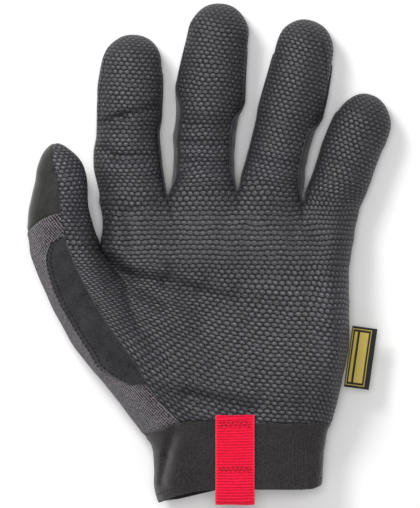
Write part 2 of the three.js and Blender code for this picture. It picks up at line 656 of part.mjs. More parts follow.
// The ring at the web belongs to both runs of rows
const frame = thumbFrame();
const webRow = thumbRow(frame, WEB_ROW);
const webKnit = webRow.knit;
const webPalm = webRow.palmTop.concat(webRow.under.slice(1));
let past = { knit: webKnit, palm: webPalm };
const body = 1 - THUMB_TIP_LENGTH / THUMB_LENGTH;
const thumbStops = THUMB_ROWS.slice(1).map((row) => ({ row, round: 1 }));
for (const angle of [66, 44, 22, 0]) {
  const s = 1 - (THUMB_TIP_LENGTH / THUMB_LENGTH) * (1 - Math.cos(angle * DEGREE));
  const row = { crown: s, outer: s, under: s, inner: s };
  thumbStops.push({ row, round: Math.sin(angle * DEGREE) });
}
const firstRing = thumbRing(frame, THUMB_ROWS[0], 1);
thumbStops.forEach((stop, n) => {
  const ring = thumbRing(frame, stop.row, stop.round);
  const carry = 1 - ramp(0, WEB_BLEND_ROWS, n + 1);
  ring.knit.forEach((p, i) => p.addScaledVector(webKnit[i].clone().sub(firstRing.knit[i]), carry));
  ring.palm.forEach((p, i) => p.addScaledVector(webPalm[i].clone().sub(firstRing.palm[i]), carry));
  ring.palm[0].copy(ring.knit[ring.knit.length - 1]);
  ring.palm[ring.palm.length - 1].copy(ring.knit[0]);
  const panel = n + 1 > CAP_ROW ? "thumb_tip_cap" : "thumb_back";
  const layFrom = n === 0 ? KNIT_UNDER + KNIT_SIDE : Infinity;
  addRows(panel, ring.knit, past.knit, layFrom);
  addRows("palm_panel", ring.palm, past.palm);
  past = ring;
});

// The palm's rows, with the thumb's root beside them below the web
let pastPalm = palmRow(0);
let pastThumb = null;
const cuffTop = [];
const cuffUnder = [];
for (let j = 1; j <= PALM_ROWS; j += 1) {
  const row = palmRow(j);
  addRows("palm_panel", pastPalm.top, row.top);
  addRows("back_panel", row.under, pastPalm.under);
  if (j > WEB_ROW) {
    const thumb = thumbRow(frame, j);
    const before = pastThumb ?? webRow;
    addRows("thumb_back", before.knit, thumb.knit, j <= PATCH_LAST_ROW ? KNIT_UNDER + KNIT_SIDE : Infinity);
    addRows("palm_panel", before.palmTop, thumb.palmTop);
    addRows("back_panel", before.under, thumb.under);
    pastThumb = thumb;
  }
  pastPalm = row;
  if (j === PALM_ROWS) {
    cuffTop.push(...pastThumb.knit.slice(KNIT_UNDER), ...pastThumb.palmTop.slice(1), ...row.top.slice(1));
    cuffUnder.push(...pastThumb.knit.slice(0, KNIT_UNDER + 1).reverse());
    cuffUnder.push(...pastThumb.under.slice().reverse().slice(1), ...row.under.slice(1));
  }
}

// The cuff carries the skin's last row down to the mouth
function cuffPoint(p, isTop, along) {
  const first = cuffTop[0];
  const last = cuffTop[cuffTop.length - 1];
  const u = (p.x - first.x) / (last.x - first.x);
  const half = CUFF_WIDTH / 2;
  const left = first.x + (read(CUFF_SECTIONS, "along", "left", along) - CUFF_SECTIONS[0].left) * half;
  const right = last.x + (read(CUFF_SECTIONS, "along", "right", along) - CUFF_SECTIONS[0].right) * half;
  const mouth = -read(MOUTH, "across", isTop ? "front" : "back", u) * CUFF_LENGTH;
  const rise = read(CUFF_SECTIONS, "along", "high", along) / CUFF_SECTIONS[0].high;
  const sideHeight = mix(first.z, last.z, u);
  const z = isTop ? sideHeight + (p.z - sideHeight) * rise : p.z;
  return new THREE.Vector3(mix(left, right, u), mix(p.y, mouth, along), z);
}
function cuffRows(points, isTop) {
  return columns(CUFF_ROWS, (t) => points.map((p) => cuffPoint(p, isTop, t)));
}
const topRows = cuffRows(cuffTop, true);
const underRows = cuffRows(cuffUnder, false);
for (let i = 0; i < CUFF_ROWS; i += 1) {
  addRows("cuff", topRows[i], topRows[i + 1]);
  addRows("cuff", underRows[i + 1], underRows[i]);
}

// The main folds press into the upper side
skin.forEach((p) => {
  p.z += foldHeight(p.x, p.y) * ramp(0.4, 0.75, p.z / PALM_HEIGHT);
});

// Normals of the whole skin, so that neighbouring panels share their directions
const normals = skin.map(() => new THREE.Vector3());
function faceNormal(corners) {
  const n = new THREE.Vector3();
  for (let i = 1; i + 1 < corners.length; i += 1) {
    const a = skin[corners[0]];
    const u = skin[corners[i]].clone().sub(a);
    const v = skin[corners[i + 1]].clone().sub(a);
    n.add(u.cross(v));
  }
  return n;
}
for (const q of quads) {
  const n = faceNormal(q.corners);
  q.corners.forEach((c) => normals[c].add(n));
}
normals.forEach((n) => n.normalize());

// A panel's closed solid: its faces of the skin, drawn in at the outline by half
// the seam's gap, and the same faces again below them by the wall.
function panelSolid(faces, wall, gap, lift) {
  const edges = new Map();
  faces.forEach((corners) => {
    corners.forEach((a, i) => {
      const b = corners[(i + 1) % corners.length];
      edges.set(`${a}_${b}`, [a, b, faceNormal(corners)]);
    });
  });
  const pull = new Map();
  const rims = [];
  edges.forEach(([a, b, n], key) => {
    if (edges.has(`${b}_${a}`)) return;
    rims.push([a, b]);
    const along = skin[b].clone().sub(skin[a]).normalize();
    const inward = n.clone().normalize().cross(along).normalize();
    for (const v of [a, b]) {
      if (!pull.has(v)) pull.set(v, []);
      pull.get(v).push(inward);
    }
  });
  const shift = (v) => {
    const ways = pull.get(v);
    if (!ways) return new THREE.Vector3();
    const sum = ways.reduce((s, w) => s.add(w), new THREE.Vector3());
    const size = sum.lengthSq() / ways.length;
    return sum.multiplyScalar(Math.min(gap / Math.max(size, 0.3), gap * 2));
  };
  const ids = new Map();
  const outer = [];
  const inner = [];
  const idOf = (v) => {
    if (!ids.has(v)) {
      ids.set(v, outer.length);
      const p = skin[v].clone().add(shift(v)).addScaledVector(normals[v], lift);
      p.z = Math.max(0, p.z);
      outer.push(p);
      inner.push(p.clone().addScaledVector(normals[v], -wall));
    }
    return ids.get(v);
  };
  const triangles = [];
  faces.forEach((corners) => {
    const c = corners.map(idOf);
    for (let i = 1; i + 1 < c.length; i += 1) triangles.push([c[0], c[i], c[i + 1]]);
  });
  const count = outer.length;
  const all = triangles.concat(triangles.map(([a, b, c]) => [a + count, c + count, b + count]));
  rims.forEach(([a, b]) => {
    const i = idOf(a);
    const j = idOf(b);
    all.push([j, i, i + count], [j, i + count, j + count]);
  });
  return { points: outer.concat(inner), triangles: all };
}

const group = new THREE.Group();
function addMesh(name, solid, look) {
  const geometry = new THREE.BufferGeometry();
  const flat = solid.points.flatMap((p) => [p.x, p.y, p.z]);
  geometry.setAttribute("position", new THREE.Float32BufferAttribute(flat, 3));
  geometry.setIndex(solid.triangles.flat());
  geometry.computeVertexNormals();
  const mesh = new THREE.Mesh(geometry, new THREE.MeshStandardMaterial(look));
  mesh.name = name;
  group.add(mesh);
}

const PANELS = [
  { name: "palm_panel", wall: PALM_WALL, color: 0x4a4b50, roughness: 0.55 },
  { name: "back_panel", wall: BACK_WALL, color: 0x4a464a, roughness: 0.85 },
  { name: "thumb_back", wall: KNIT_WALL, color: 0x5a5559, roughness: 0.9 },
  { name: "thumb_tip_cap", wall: CAP_WALL, color: 0x2c2b2b, roughness: 0.7 },
  { name: "index_middle_fourchette", wall: SIDE_WALL, color: 0x24252b, roughness: 0.7 },
  { name: "middle_ring_fourchette", wall: SIDE_WALL, color: 0x24252b, roughness: 0.7 },
  { name: "ring_little_fourchette", wall: SIDE_WALL, color: 0x24252b, roughness: 0.7 },
  { name: "cuff", wall: CUFF_WALL, color: 0x262427, roughness: 0.9 },
];
for (const { name, wall, ...look } of PANELS) {
  const faces = quads.filter((q) => q.panel === name).map((q) => q.corners);
  addMesh(name, panelSolid(faces, wall, SEAM_GAP / 2, 0), { ...look, metalness: 0 });
}

const patchFaces = quads.filter((q) => q.patch).map((q) => q.corners);
addMesh("thumb_patch", panelSolid(patchFaces, PATCH_WALL, SEAM_GAP / 2, LAY_GAP + PATCH_WALL), {
  color: 0x2a2a2c,
  roughness: 0.8,
  metalness: 0,
});

// Height and upward share of the normal of the skin's upper side at a place
function skinAt(x, y) {
  let best = null;
  for (const q of quads) {
    if (q.panel !== "palm_panel" && q.panel !== "cuff") continue;
    for (let i = 1; i + 1 < q.corners.length; i += 1) {
      const ids = [q.corners[0], q.corners[i], q.corners[i + 1]];
      const [a, b, c] = ids.map((v) => skin[v]);
      const area = (b.x - a.x) * (c.y - a.y) - (c.x - a.x) * (b.y - a.y);
      if (area <= 0) continue;
      const v = ((x - a.x) * (c.y - a.y) - (c.x - a.x) * (y - a.y)) / area;
      const w = ((b.x - a.x) * (y - a.y) - (x - a.x) * (b.y - a.y)) / area;
      if (v < -1e-6 || w < -1e-6 || v + w > 1 + 1e-6) continue;
      const z = a.z * (1 - v - w) + b.z * v + c.z * w;
      const up = normals[ids[0]].z * (1 - v - w) + normals[ids[1]].z * v + normals[ids[2]].z * w;
      if (!best || z > best.z) best = { z, up };
    }
  }
  return best;
}

// A closed strip: rows of outer points and rows of inner points, across the width
function stripSolid(outer, inner) {
  const wide = outer[0].length;
  const points = outer.flat().concat(inner.flat());
  const count = outer.length * wide;
  const triangles = [];
  const face = (a, b, c, d) => triangles.push([a, b, c], [a, c, d]);
  for (let i = 0; i + 1 < outer.length; i += 1) {
    for (let k = 0; k + 1 < wide; k += 1) {
      const a = i * wide + k;
      face(a, a + wide, a + wide + 1, a + 1);
      face(a + count, a + 1 + count, a + wide + 1 + count, a + wide + count);
    }
    const first = i * wide;
    const last = first + wide - 1;
    face(first, first + count, first + wide + count, first + wide);
    face(last, last + wide, last + wide + count, last + count);
  }
  const end = (outer.length - 1) * wide;
  for (let k = 0; k + 1 < wide; k += 1) {
    face(k, k + 1, k + 1 + count, k + count);
    face(end + k, end + k + count, end + k + 1 + count, end + k + 1);
  }
  return { points, triangles };
}

// The pull tab runs down the outside, round in a loop past the hem and up inside
const TAB_ACROSS = -0.0395;
const TAB_COLUMNS = 4;
const TAB_STEPS = 9;
const LOOP_STEPS = 6;
function tabPath(x) {
  const seamY = read(INDEX_MIDDLE_LINE, "down", "up", 1) * PALM_LENGTH;
  const u = (TAB_ACROSS * PALM_WIDTH - cuffTop[0].x) / (cuffTop[cuffTop.length - 1].x - cuffTop[0].x);
  const hemY = -read(MOUTH, "across", "front", u) * CUFF_LENGTH;
  const topY = seamY + TAB_ABOVE_SEAM;
  const safe = hemY + 0.4;
  const path = [];
  for (let i = 0; i <= TAB_STEPS; i += 1) {
    const y = mix(topY, safe, i / TAB_STEPS);
    const s = skinAt(x, y);
    path.push(new THREE.Vector2(y, s.z + TAB_GAP / s.up));
  }
  const low = skinAt(x, safe);
  const over = path[path.length - 1].y;
  const below = low.z - (CUFF_WALL + HEM_RISE + TAB_GAP) / low.up;
  const nose = TAB_LOOP - TAB_WALL + (safe - hemY);
  for (let i = 1; i < LOOP_STEPS; i += 1) {
    const a = (Math.PI * i) / LOOP_STEPS;
    const z = (over + below) / 2 + ((over - below) / 2) * Math.cos(a);
    path.push(new THREE.Vector2(safe - nose * Math.sin(a) ** 0.8, z));
  }
  for (let i = 0; i <= TAB_STEPS - 4; i += 1) {
    const y = mix(safe, hemY + TAB_INSIDE, i / (TAB_STEPS - 4));
    const s = skinAt(x, y);
    path.push(new THREE.Vector2(y, s.z - (CUFF_WALL + HEM_RISE + TAB_GAP) / s.up));
  }
  return path;
}
const tabInner = [];
const tabOuter = [];
const tabPaths = columns(TAB_COLUMNS, (t) => {
  const x = TAB_ACROSS * PALM_WIDTH + (t - 0.5) * TAB_WIDTH;
  return { x, path: tabPath(x) };
});
tabPaths[0].path.forEach((_, i) => {
  const near = [];
  const far = [];
  for (const { x, path } of tabPaths) {
    const before = path[Math.max(i - 1, 0)];
    const after = path[Math.min(i + 1, path.length - 1)];
    const way = after.clone().sub(before).normalize();
    const p = path[i];
    near.push(new THREE.Vector3(x, p.x, p.y));
    far.push(new THREE.Vector3(x, p.x + way.y * TAB_WALL, p.y - way.x * TAB_WALL));
  }
  tabInner.push(near);
  tabOuter.push(far);
});
addMesh("pull_tab", stripSolid(tabOuter, tabInner), { color: 0xd8102c, roughness: 0.6, metalness: 0 });

// The label stands out of the seam on the little finger's side
const LABEL_STEPS = 4;
const LABEL_TURN = 8;
const LABEL_DROOP = 2;
function labelRoot(t) {
  const y = LABEL_FROM_CUFF + LABEL_LENGTH * (1 - t);
  const side = LITTLE_SIDE.map((r) => ({ ...r, low: -r.up }));
  const down = read(side.map((r) => ({ place: r.low, down: r.down })), "place", "down", -y / PALM_LENGTH);
  return linePoint(LITTLE_SIDE, down, "top");
}

// The label is straight, so it stands off the seam by as much as the seam bulges
const labelEnds = [labelRoot(0), labelRoot(1)];
const labelBulge = Math.max(...columns(8, (t) => labelRoot(t).x - mix(labelEnds[0].x, labelEnds[1].x, t)));
function labelSection(t) {
  const root = labelEnds[0].clone().lerp(labelEnds[1], t);
  root.x += labelBulge;
  const turn = LABEL_TURN * DEGREE;
  const out = new THREE.Vector3(Math.cos(turn), -Math.sin(turn), 0);
  const rows = [0, 0.33, 0.66, 0.94, 1].map((r) => {
    const thin = r === 1 ? 0.3 : 1;
    const reach = TAB_GAP + r * LABEL_WIDTH;
    const middle = root.clone().addScaledVector(out, reach);
    middle.z -= LABEL_DROOP * r * r;
    return [middle, (LABEL_WALL / 2) * thin];
  });
  return rows;
}
const labelTop = [];
const labelUnder = [];
columns(LABEL_STEPS, labelSection).forEach((rows) => {
  labelTop.push(rows.map(([p, h]) => p.clone().setZ(p.z + h)));
  labelUnder.push(rows.map(([p, h]) => p.clone().setZ(p.z - h)));
});
addMesh("side_label", stripSolid(labelTop, labelUnder), { color: 0x1a1a1a, roughness: 0.8, metalness: 0 });

// The origin is the middle of the whole part's footprint on its supporting plane
const box = new THREE.Box3().setFromObject(group);
group.position.set(-(box.min.x + box.max.x) / 2, -(box.min.y + box.max.y) / 2, -box.min.z);

export default group;
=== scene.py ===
# %% [markdown]
# A mechanic glove from its palm side
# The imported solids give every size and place. This script puts finely shaped
# cloth, textured leather, knit and webbing in place of each plain panel.

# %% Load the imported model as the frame
import bmesh
import bpy
import numpy as np
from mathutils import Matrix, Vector
from mathutils.bvhtree import BVHTree
from mathutils.kdtree import KDTree


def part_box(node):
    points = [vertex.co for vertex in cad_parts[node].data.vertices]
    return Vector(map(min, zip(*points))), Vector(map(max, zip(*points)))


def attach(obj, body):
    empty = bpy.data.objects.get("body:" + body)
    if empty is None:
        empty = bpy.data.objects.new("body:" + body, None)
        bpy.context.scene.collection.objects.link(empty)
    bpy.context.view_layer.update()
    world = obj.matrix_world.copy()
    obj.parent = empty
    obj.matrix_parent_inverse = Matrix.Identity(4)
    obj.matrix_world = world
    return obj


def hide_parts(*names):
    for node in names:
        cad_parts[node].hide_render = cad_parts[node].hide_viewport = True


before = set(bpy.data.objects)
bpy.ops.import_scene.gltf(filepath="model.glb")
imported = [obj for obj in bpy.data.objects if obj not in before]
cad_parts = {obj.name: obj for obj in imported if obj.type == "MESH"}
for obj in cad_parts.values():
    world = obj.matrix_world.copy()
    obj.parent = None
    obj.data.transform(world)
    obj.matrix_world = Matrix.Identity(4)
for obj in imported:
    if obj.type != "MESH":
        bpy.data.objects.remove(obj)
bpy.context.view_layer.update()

# %% [markdown]
# The sizes and most table rows are those of the part's source, in millimetres,
# so that each dressed panel lies where its solid lies. Only the thumb's end and
# the cuff's sides were set again, by up to about 2 mm, after the photograph. A
# table is text with named columns, because its rows are then easy to compare.

# %% Sizes of the hand
PALM_WIDTH, PALM_LENGTH, PALM_HEIGHT = 126.0, 111.0, 36.0
FINGER_HEIGHT, THUMB_HEIGHT, THUMB_LIFT = 24.0, 27.0, 8.5
THUMB_LENGTH, THUMB_WIDTH, THUMB_TIP = 50.0, 32.4, 13.0
CROTCH_RADIUS, FINGERTIP = 1.7, 14.0
CUFF_LENGTH, CUFF_WIDTH = 33.0, 82.0
WALLS = {"palm": 1.4, "back": 1.3, "knit": 1.3, "cap": 1.5, "side": 1.1, "cuff": 1.8, "patch": 0.9}
SINK, STRIP_END, STRIP_ANGLE, UNDER_EDGE = 1.2, 0.78, 112.0, 128.0
UNDER_SEAM, WEB_ANGLE, CROWN_SHARE = 196.0, 104.0, 0.22
SEAM_ARC, SIDE_ARC, THUMB_TURN = 80.0, 96.0, 4.5
PALM_ROWS, WEB_ROW = 14, 4
TAB_ACROSS, TAB_WIDTH, TAB_ABOVE_SEAM, TAB_WALL = -0.0395, 19.0, 3.0, 1.3
TAB_LOOP, TAB_INSIDE, TAB_GAP, HEM_RISE = 7.6, 16.0, 0.45, 0.5
LABEL_WIDTH, LABEL_LENGTH, LABEL_WALL, LABEL_FROM_CUFF = 12.3, 29.5, 1.0, 17.5
LABEL_TURN, LABEL_DROOP = 8.0, 2.0

# %% A table of sections and its smooth reading
def table(text):
    """Rows of numbers under a row of column names."""
    lines = [line.split() for line in text.strip().splitlines()]
    numbers = np.array([[float(v) for v in line] for line in lines[1:]])
    return {name: numbers[:, i] for i, name in enumerate(lines[0])}


def read(tab, key, column, at):
    """The cubic through a column's rows: each row's tangent is the slope between
    its two neighbours, so the value and its slope never jump."""
    k, v = tab[key], tab[column]
    at = np.asarray(at, float)
    last = len(k) - 1
    i = np.clip(np.searchsorted(k, at, side="left") - 1, 0, last - 1)
    before, after = np.maximum(i - 1, 0), np.minimum(i + 2, last)
    span = k[i + 1] - k[i]
    t = np.clip((at - k[i]) / span, 0, 1)
    slope_a = (v[i + 1] - v[before]) / (k[i + 1] - k[before]) * span
    slope_b = (v[after] - v[i]) / (k[after] - k[i]) * span
    t2, t3 = t * t, t * t * t
    return (v[i] * (2 * t3 - 3 * t2 + 1) + slope_a * (t3 - 2 * t2 + t)
            + v[i + 1] * (3 * t2 - 2 * t3) + slope_b * (t3 - t2))


def mix(a, b, t):
    """Straight blend from a to b."""
    return a + (b - a) * t


def ramp(a, b, x):
    """0 before a, 1 after b, and a smooth rise between them."""
    t = np.clip((x - a) / (b - a), 0, 1)
    return t * t * (3 - 2 * t)

# %% Lines of the hand, as shares of the palm
INDEX_SIDE = table("""
down  across  up     top   under
0.0   -0.5651 0.9632 0.3   0.3
0.15  -0.5477 0.8801 0.32  0.32
0.286 -0.5593 0.7531 0.361 0.361""")
WEB_LINE = table("""
down  across  up     top   under
0.286 -0.5593 0.7531 0.361 0.361
0.34  -0.5091 0.683  0.583 0.194
0.42  -0.459  0.6086 0.764 0.056
0.55  -0.3819 0.4772 0.875 0.0
0.7   -0.3047 0.3196 0.917 0.0
0.85  -0.2276 0.162  0.917 0.0
1.0   -0.1543 0.0088 0.861 0.0""")
INDEX_MIDDLE = table("""
down across  up     top   under
0.0  -0.2985 0.9834 0.556 0.194
0.08 -0.2777 0.9019 0.681 0.069
0.17 -0.2546 0.8188 0.764 0.0
0.3  -0.2237 0.6918 0.819 0.0
0.5  -0.162  0.4948 0.806 0.0
0.75 -0.0887 0.2496 0.875 0.0
1.0  -0.0193 0.0088 0.889 0.0""")
MIDDLE_RING = table("""
down across  up     top   under
0.0  -0.0309 1.0048 0.556 0.194
0.08 -0.0231 0.9238 0.681 0.069
0.17 -0.0116 0.8319 0.764 0.0
0.3  0.0077  0.7049 0.792 0.0
0.5  0.0347  0.5035 0.778 0.0
0.75 0.0733  0.2539 0.86  0.0
1.0  0.1157  0.0    0.861 0.0""")
RING_LITTLE = table("""
down across up      top   under
0.0  0.2199 0.9571  0.556 0.194
0.08 0.2218 0.8801  0.667 0.069
0.17 0.2237 0.7969  0.75  0.0
0.3  0.2276 0.6743  0.819 0.0
0.5  0.2314 0.4816  0.875 0.0
0.75 0.2353 0.2408  0.889 0.0
1.0  0.2353 -0.0022 0.75  0.0""")
LITTLE_SIDE = table("""
down  across up      top   under
0.0   0.4397 0.9063  0.306 0.306
0.1   0.4204 0.8188  0.333 0.333
0.285 0.3992 0.648   0.389 0.389
0.46  0.4011 0.4904  0.417 0.417
0.65  0.3973 0.3196  0.431 0.431
0.81  0.3703 0.1708  0.444 0.444
0.91  0.351  0.0788  0.444 0.444
1.0   0.3336 -0.0022 0.431 0.431""")
THUMB_SIDE = table("""
down  across  up      top  under
0.286 -0.8293 0.7881  0.62 0.62
0.36  -0.8216 0.7268  0.58 0.58
0.43  -0.8023 0.6568  0.54 0.54
0.57  -0.7271 0.4685  0.49 0.49
0.714 -0.6441 0.3065  0.46 0.46
0.857 -0.54   0.1664  0.45 0.45
1.0   -0.3857 -0.0613 0.44 0.44""")
THUMB_SEAM = table("""
down  across  up
0.286 -0.6827 0.7794
0.43  -0.6364 0.648
0.57  -0.5554 0.4729
0.714 -0.459  0.3152
0.857 -0.3761 0.1686
1.0   -0.2507 0.0066""")
PATCH_EDGE = table("""
down  part
0.286 0.29
0.36  0.44
0.43  0.5
0.5   0.56
0.643 0.545
0.714 0.555
0.786 0.61
0.857 0.52
1.0   0.5""")
CROWNS = table("""
down  index middle ring  little thumb
0.0   0.722 0.722  0.722 0.68   0.97
0.15  0.78  0.778  0.778 0.76   0.97
0.286 0.833 0.806  0.806 0.84   0.97
0.5   0.861 0.8    0.833 0.94   1.0
0.75  0.9   0.861  0.889 0.944  1.0
1.0   0.883 0.883  0.82  0.68   0.825""")

# %% Sections of the fingers, the thumb and the cuff
FINGERS = {
    "index": dict(left=INDEX_SIDE, right=INDEX_MIDDLE, length=80.6, width=30.6, turn=-1.3, edges=(100, 74),
                  notches=(0, 0.44), sides=("", "index_middle"), sections=table("""
along side  wide high
0.0   -0.02 1.0  1.02
0.1   -0.11 1.06 1.0
0.2   -0.19 1.07 1.0
0.3   -0.23 1.04 0.98
0.4   -0.23 0.99 0.95
0.5   -0.21 1.02 0.98
0.7   -0.17 1.02 0.98
0.85  -0.13 0.95 0.93
1.0   -0.06 0.92 0.9""")),
    "middle": dict(left=INDEX_MIDDLE, right=MIDDLE_RING, length=93.8, width=30.2, turn=-5.85, edges=(50, 54),
                   notches=(0.5, 0.42), sides=("index_middle", "middle_ring"), sections=table("""
along side  wide high
0.0   0.01  0.98 1.02
0.1   -0.02 0.97 1.0
0.2   -0.07 0.96 1.0
0.3   -0.13 0.99 0.98
0.4   -0.1  0.99 0.97
0.5   -0.07 1.09 1.0
0.6   -0.08 1.07 1.0
0.8   -0.03 0.99 0.95
1.0   0.02  0.95 0.9""")),
    "ring": dict(left=MIDDLE_RING, right=RING_LITTLE, length=89.0, width=29.2, turn=-10.8, edges=(86, 47),
                 notches=(0.46, 0.42), sides=("middle_ring", "ring_little"), sections=table("""
along side wide high
0.0   0.0  0.98 1.02
0.1   0.02 1.02 1.0
0.2   0.02 0.97 1.0
0.4   0.09 0.97 0.98
0.5   0.16 1.05 1.0
0.7   0.22 1.02 0.98
0.85  0.22 0.97 0.93
1.0   0.19 0.95 0.9""")),
    "little": dict(left=RING_LITTLE, right=LITTLE_SIDE, length=59.2, width=27.8, turn=-16.2, edges=(78, 100),
                   notches=(0.46, 0), sides=("ring_little", ""), sections=table("""
along side  wide high
0.0   -0.01 0.96 0.98
0.1   0.03  0.99 0.96
0.3   0.1   0.99 0.94
0.5   0.13  1.0  0.94
0.7   0.22  1.02 0.92
0.85  0.26  0.95 0.9
1.0   0.22  0.9  0.86""")),
}
THUMB_SECTIONS = table("""
along side  wide high seam
0.0   -0.05 1.02 1.0  6
0.2   -0.09 0.97 0.99 6
0.4   -0.07 0.88 0.97 4
0.6   0.04  0.8  0.93 -3
0.8   0.05  0.67 0.88 -16
1.0   -0.02 0.5  0.8  -22""")
THUMB_RINGS = table("""
ring crown outer under inner patch
0    0.0   0.03  0.0   -0.06 0.29
1    0.08  0.08  0.07  0.06  0.05
2    0.2   0.12  0.14  0.18  0.3
3    0.31  0.17  0.2   0.3   0.3
4    0.42  0.31  0.33  0.42  0.3
5    0.54  0.45  0.47  0.54  0.3
6    0.66  0.6   0.61  0.66  0.3
7    0.74  0.74  0.74  0.74  0.3""")
CUFF_SECTIONS = table("""
along left   right high
0.0   -1.12  1.025 0.87
0.12  -1.05  0.972 0.86
0.4   -1.015 0.935 0.93
0.75  -1.01  0.92  0.98
1.0   -0.965 0.91  1.0""")
MOUTH = table("""
across front back
0.0    1.18  1.18
0.1    1.07  1.16
0.25   0.98  1.08
0.4    0.955 1.0
0.7    0.96  0.94
0.93   0.965 0.92
1.0    0.92  0.92""")

# %% [markdown]
# A sewn glove is one skin, cut along its seams. Each stretch of the skin is a
# function of two parameters: how far along the hand, and how far round it. The
# stretches share their edges, so the panels meet without a gap.

# %% Sections from a crown to an edge
def sind(a):
    """Sine of an angle in degrees."""
    return np.sin(np.radians(a))


def cosd(a):
    """Cosine of an angle in degrees."""
    return np.cos(np.radians(a))


def line(tab, down, side="top"):
    """A line of the palm at a share of the way down: three arrays in mm."""
    return (read(tab, "down", "across", down) * PALM_WIDTH,
            read(tab, "down", "up", down) * PALM_LENGTH,
            np.maximum(0, read(tab, "down", side, down) * PALM_HEIGHT))


def half_section(crown, edge, q, angle, rounded):
    """From the crown at q 0 to the edge at q 1: a circle's arc that ends at the
    given angle, blended with a straight run whose height follows a cosine."""
    sideways = mix(q, sind(q * angle) / sind(angle), rounded)
    arc = (cosd(q * angle) - cosd(angle)) / (1 - cosd(angle))
    height = mix((1 + np.cos(np.pi * q)) / 2, arc, rounded)
    x = mix(crown[0], edge[0], sideways)
    y = mix(crown[1], edge[1], sideways)
    return np.stack(np.broadcast_arrays(x, y, np.maximum(0, edge[2] + (crown[2] - edge[2]) * height)), -1)


def over_section(left, crown, right, c, angles, rounds):
    """From the left edge at c -1 over the crown at c 0 to the right edge at c 1."""
    a = half_section(crown, left, np.clip(-c, 0, 1), angles[0], rounds[0])
    b = half_section(crown, right, np.clip(c, 0, 1), angles[1], rounds[1])
    return np.where((c < 0)[..., None], a, b)

# %% One finger as a function of its length and its girth
PALM_FADE, BASE_FLARE, STRIP_INSET, FLAT_SIDE = 0.22, 0.1, 0.2, 0.25
NOTCH_ANGLE, NOTCH_BEFORE, NOTCH_AFTER = 100, 0.05, 0.11
CLOSED_SHARE, STRIP_CLOSING, SIDE_CLOSING, HANG_SHARE = 0.6, 0.05, 0.4, 0.3


def finger(at, c, name, panel):
    """Points at a distance along the finger. On the top and under panels c runs
    from -1 at the left edge to 1 at the right; on a side strip from 0 to 1 down."""
    f = FINGERS[name]
    start = [np.array(line(f[s], 0.0)) for s in ("left", "right")]
    low = [np.array(line(f[s], 0.0, "under")) for s in ("left", "right")]
    base = (start[0] + start[1]) / 2
    axis = np.array([-sind(f["turn"]), cosd(f["turn"])])
    across = np.array([axis[1], -axis[0]])
    length, share = f["length"], at / f["length"]
    beyond = np.clip((at - (length - FINGERTIP)) / FINGERTIP, 0, 1)
    grow = np.sqrt(1 - beyond ** 2)
    settle = np.maximum(0, 1 - at / (length - FINGERTIP))
    half = f["width"] / 2 * read(f["sections"], "along", "wide", share) * grow
    offset = f["width"] / 2 * read(f["sections"], "along", "side", share)
    tall = FINGER_HEIGHT / 2 * read(f["sections"], "along", "high", share)
    middle = tall + cosd(STRIP_ANGLE) * tall * (1 - grow)
    fade = 1 - ramp(0, PALM_FADE, share)
    reach, run = [], []
    for n, sign in enumerate((-1, 1)):
        skew = start[n][:2] - base[:2]
        inset = CROTCH_RADIUS if f["sides"][n] else 0.0
        rest = np.maximum(0, 1 - at / CROTCH_RADIUS)
        flare = (1 - np.sqrt(1 - rest * rest)) * inset
        body = sign * offset + half - (STRIP_INSET if inset else 0.0)
        reach.append(sign * (mix(sign * (skew @ across) - inset, body, ramp(0, BASE_FLARE, share)) + flare))
        run.append(at + (skew @ axis) * settle)
    centre = (reach[0] + reach[1]) / 2

    def place(s, r, z):
        return (base[0] + axis[0] * s + across[0] * r, base[1] + axis[1] * s + across[1] * r, z)

    def angles(n):
        notch = f["notches"][n]
        if not f["sides"][n]:
            a = mix(float(f["edges"][n]), STRIP_ANGLE, ramp(SIDE_CLOSING, STRIP_END, share))
            return a, a
        closing = ramp(notch, STRIP_END, share)
        closed = ramp(STRIP_END - STRIP_CLOSING, STRIP_END, share)
        a = mix(float(f["edges"][n]), NOTCH_ANGLE, ramp(notch - NOTCH_BEFORE, notch + NOTCH_AFTER, share))
        a = mix(a, STRIP_ANGLE, np.maximum(closing ** 2 * CLOSED_SHARE, closed))
        b = mix(UNDER_EDGE, STRIP_ANGLE, np.maximum(closing * CLOSED_SHARE, closed))
        return a, b

    def edge(n, v):
        """The side of the ring between the top panel's edge (v 0) and the under one's."""
        sign = (-1, 1)[n]
        a, b = angles(n)
        turn = mix(a, b, v)
        wide = np.abs(reach[n] - centre)
        out = mix(sind(turn), mix(sind(a), sind(b), v), FLAT_SIDE)
        drop = mix(cosd(turn), mix(cosd(a), cosd(b), v), FLAT_SIDE)
        r = centre + sign * mix(wide * out, wide, fade ** 3)
        hang = middle + (tall + SINK * HANG_SHARE * v) * grow * drop
        z = mix(np.maximum(0, hang), mix(start[n][2], low[n][2], v), fade)
        return place(run[n], r, z)

    if panel in ("left", "right"):
        return np.stack(np.broadcast_arrays(*edge(0 if panel == "left" else 1, c)), -1)
    v = 0.0 if panel == "top" else 1.0
    crown_height = mix(middle + tall * grow, read(CROWNS, "down", name, 0.0) * PALM_HEIGHT, fade)
    crown = place((run[0] + run[1]) / 2, centre, crown_height)
    if panel == "under":
        crown = (crown[0], crown[1], np.maximum(0, middle - (tall + SINK) * grow))
    ends, turns = [], []
    for n in (0, 1):
        a, b = angles(n)
        point = edge(n, v if f["sides"][n] else 0.0)
        ends.append(point)
        turns.append(mix(a if panel == "top" else 180 - b, SEAM_ARC, fade))
    return over_section(ends[0], crown, ends[1], c, turns, (1.0, 1.0))

# %% One ray of the palm, and the thumb's root beside it
RAYS = ["index", "middle", "ring", "little"]
MEET_ROWS, WEB_MEET_ROWS, SIDE_ROWS, LIFT_BEFORE, LIFT_AFTER = 3.5, 3, 2, 1, 4
LINES = [None, INDEX_MIDDLE, MIDDLE_RING, RING_LITTLE, LITTLE_SIDE]


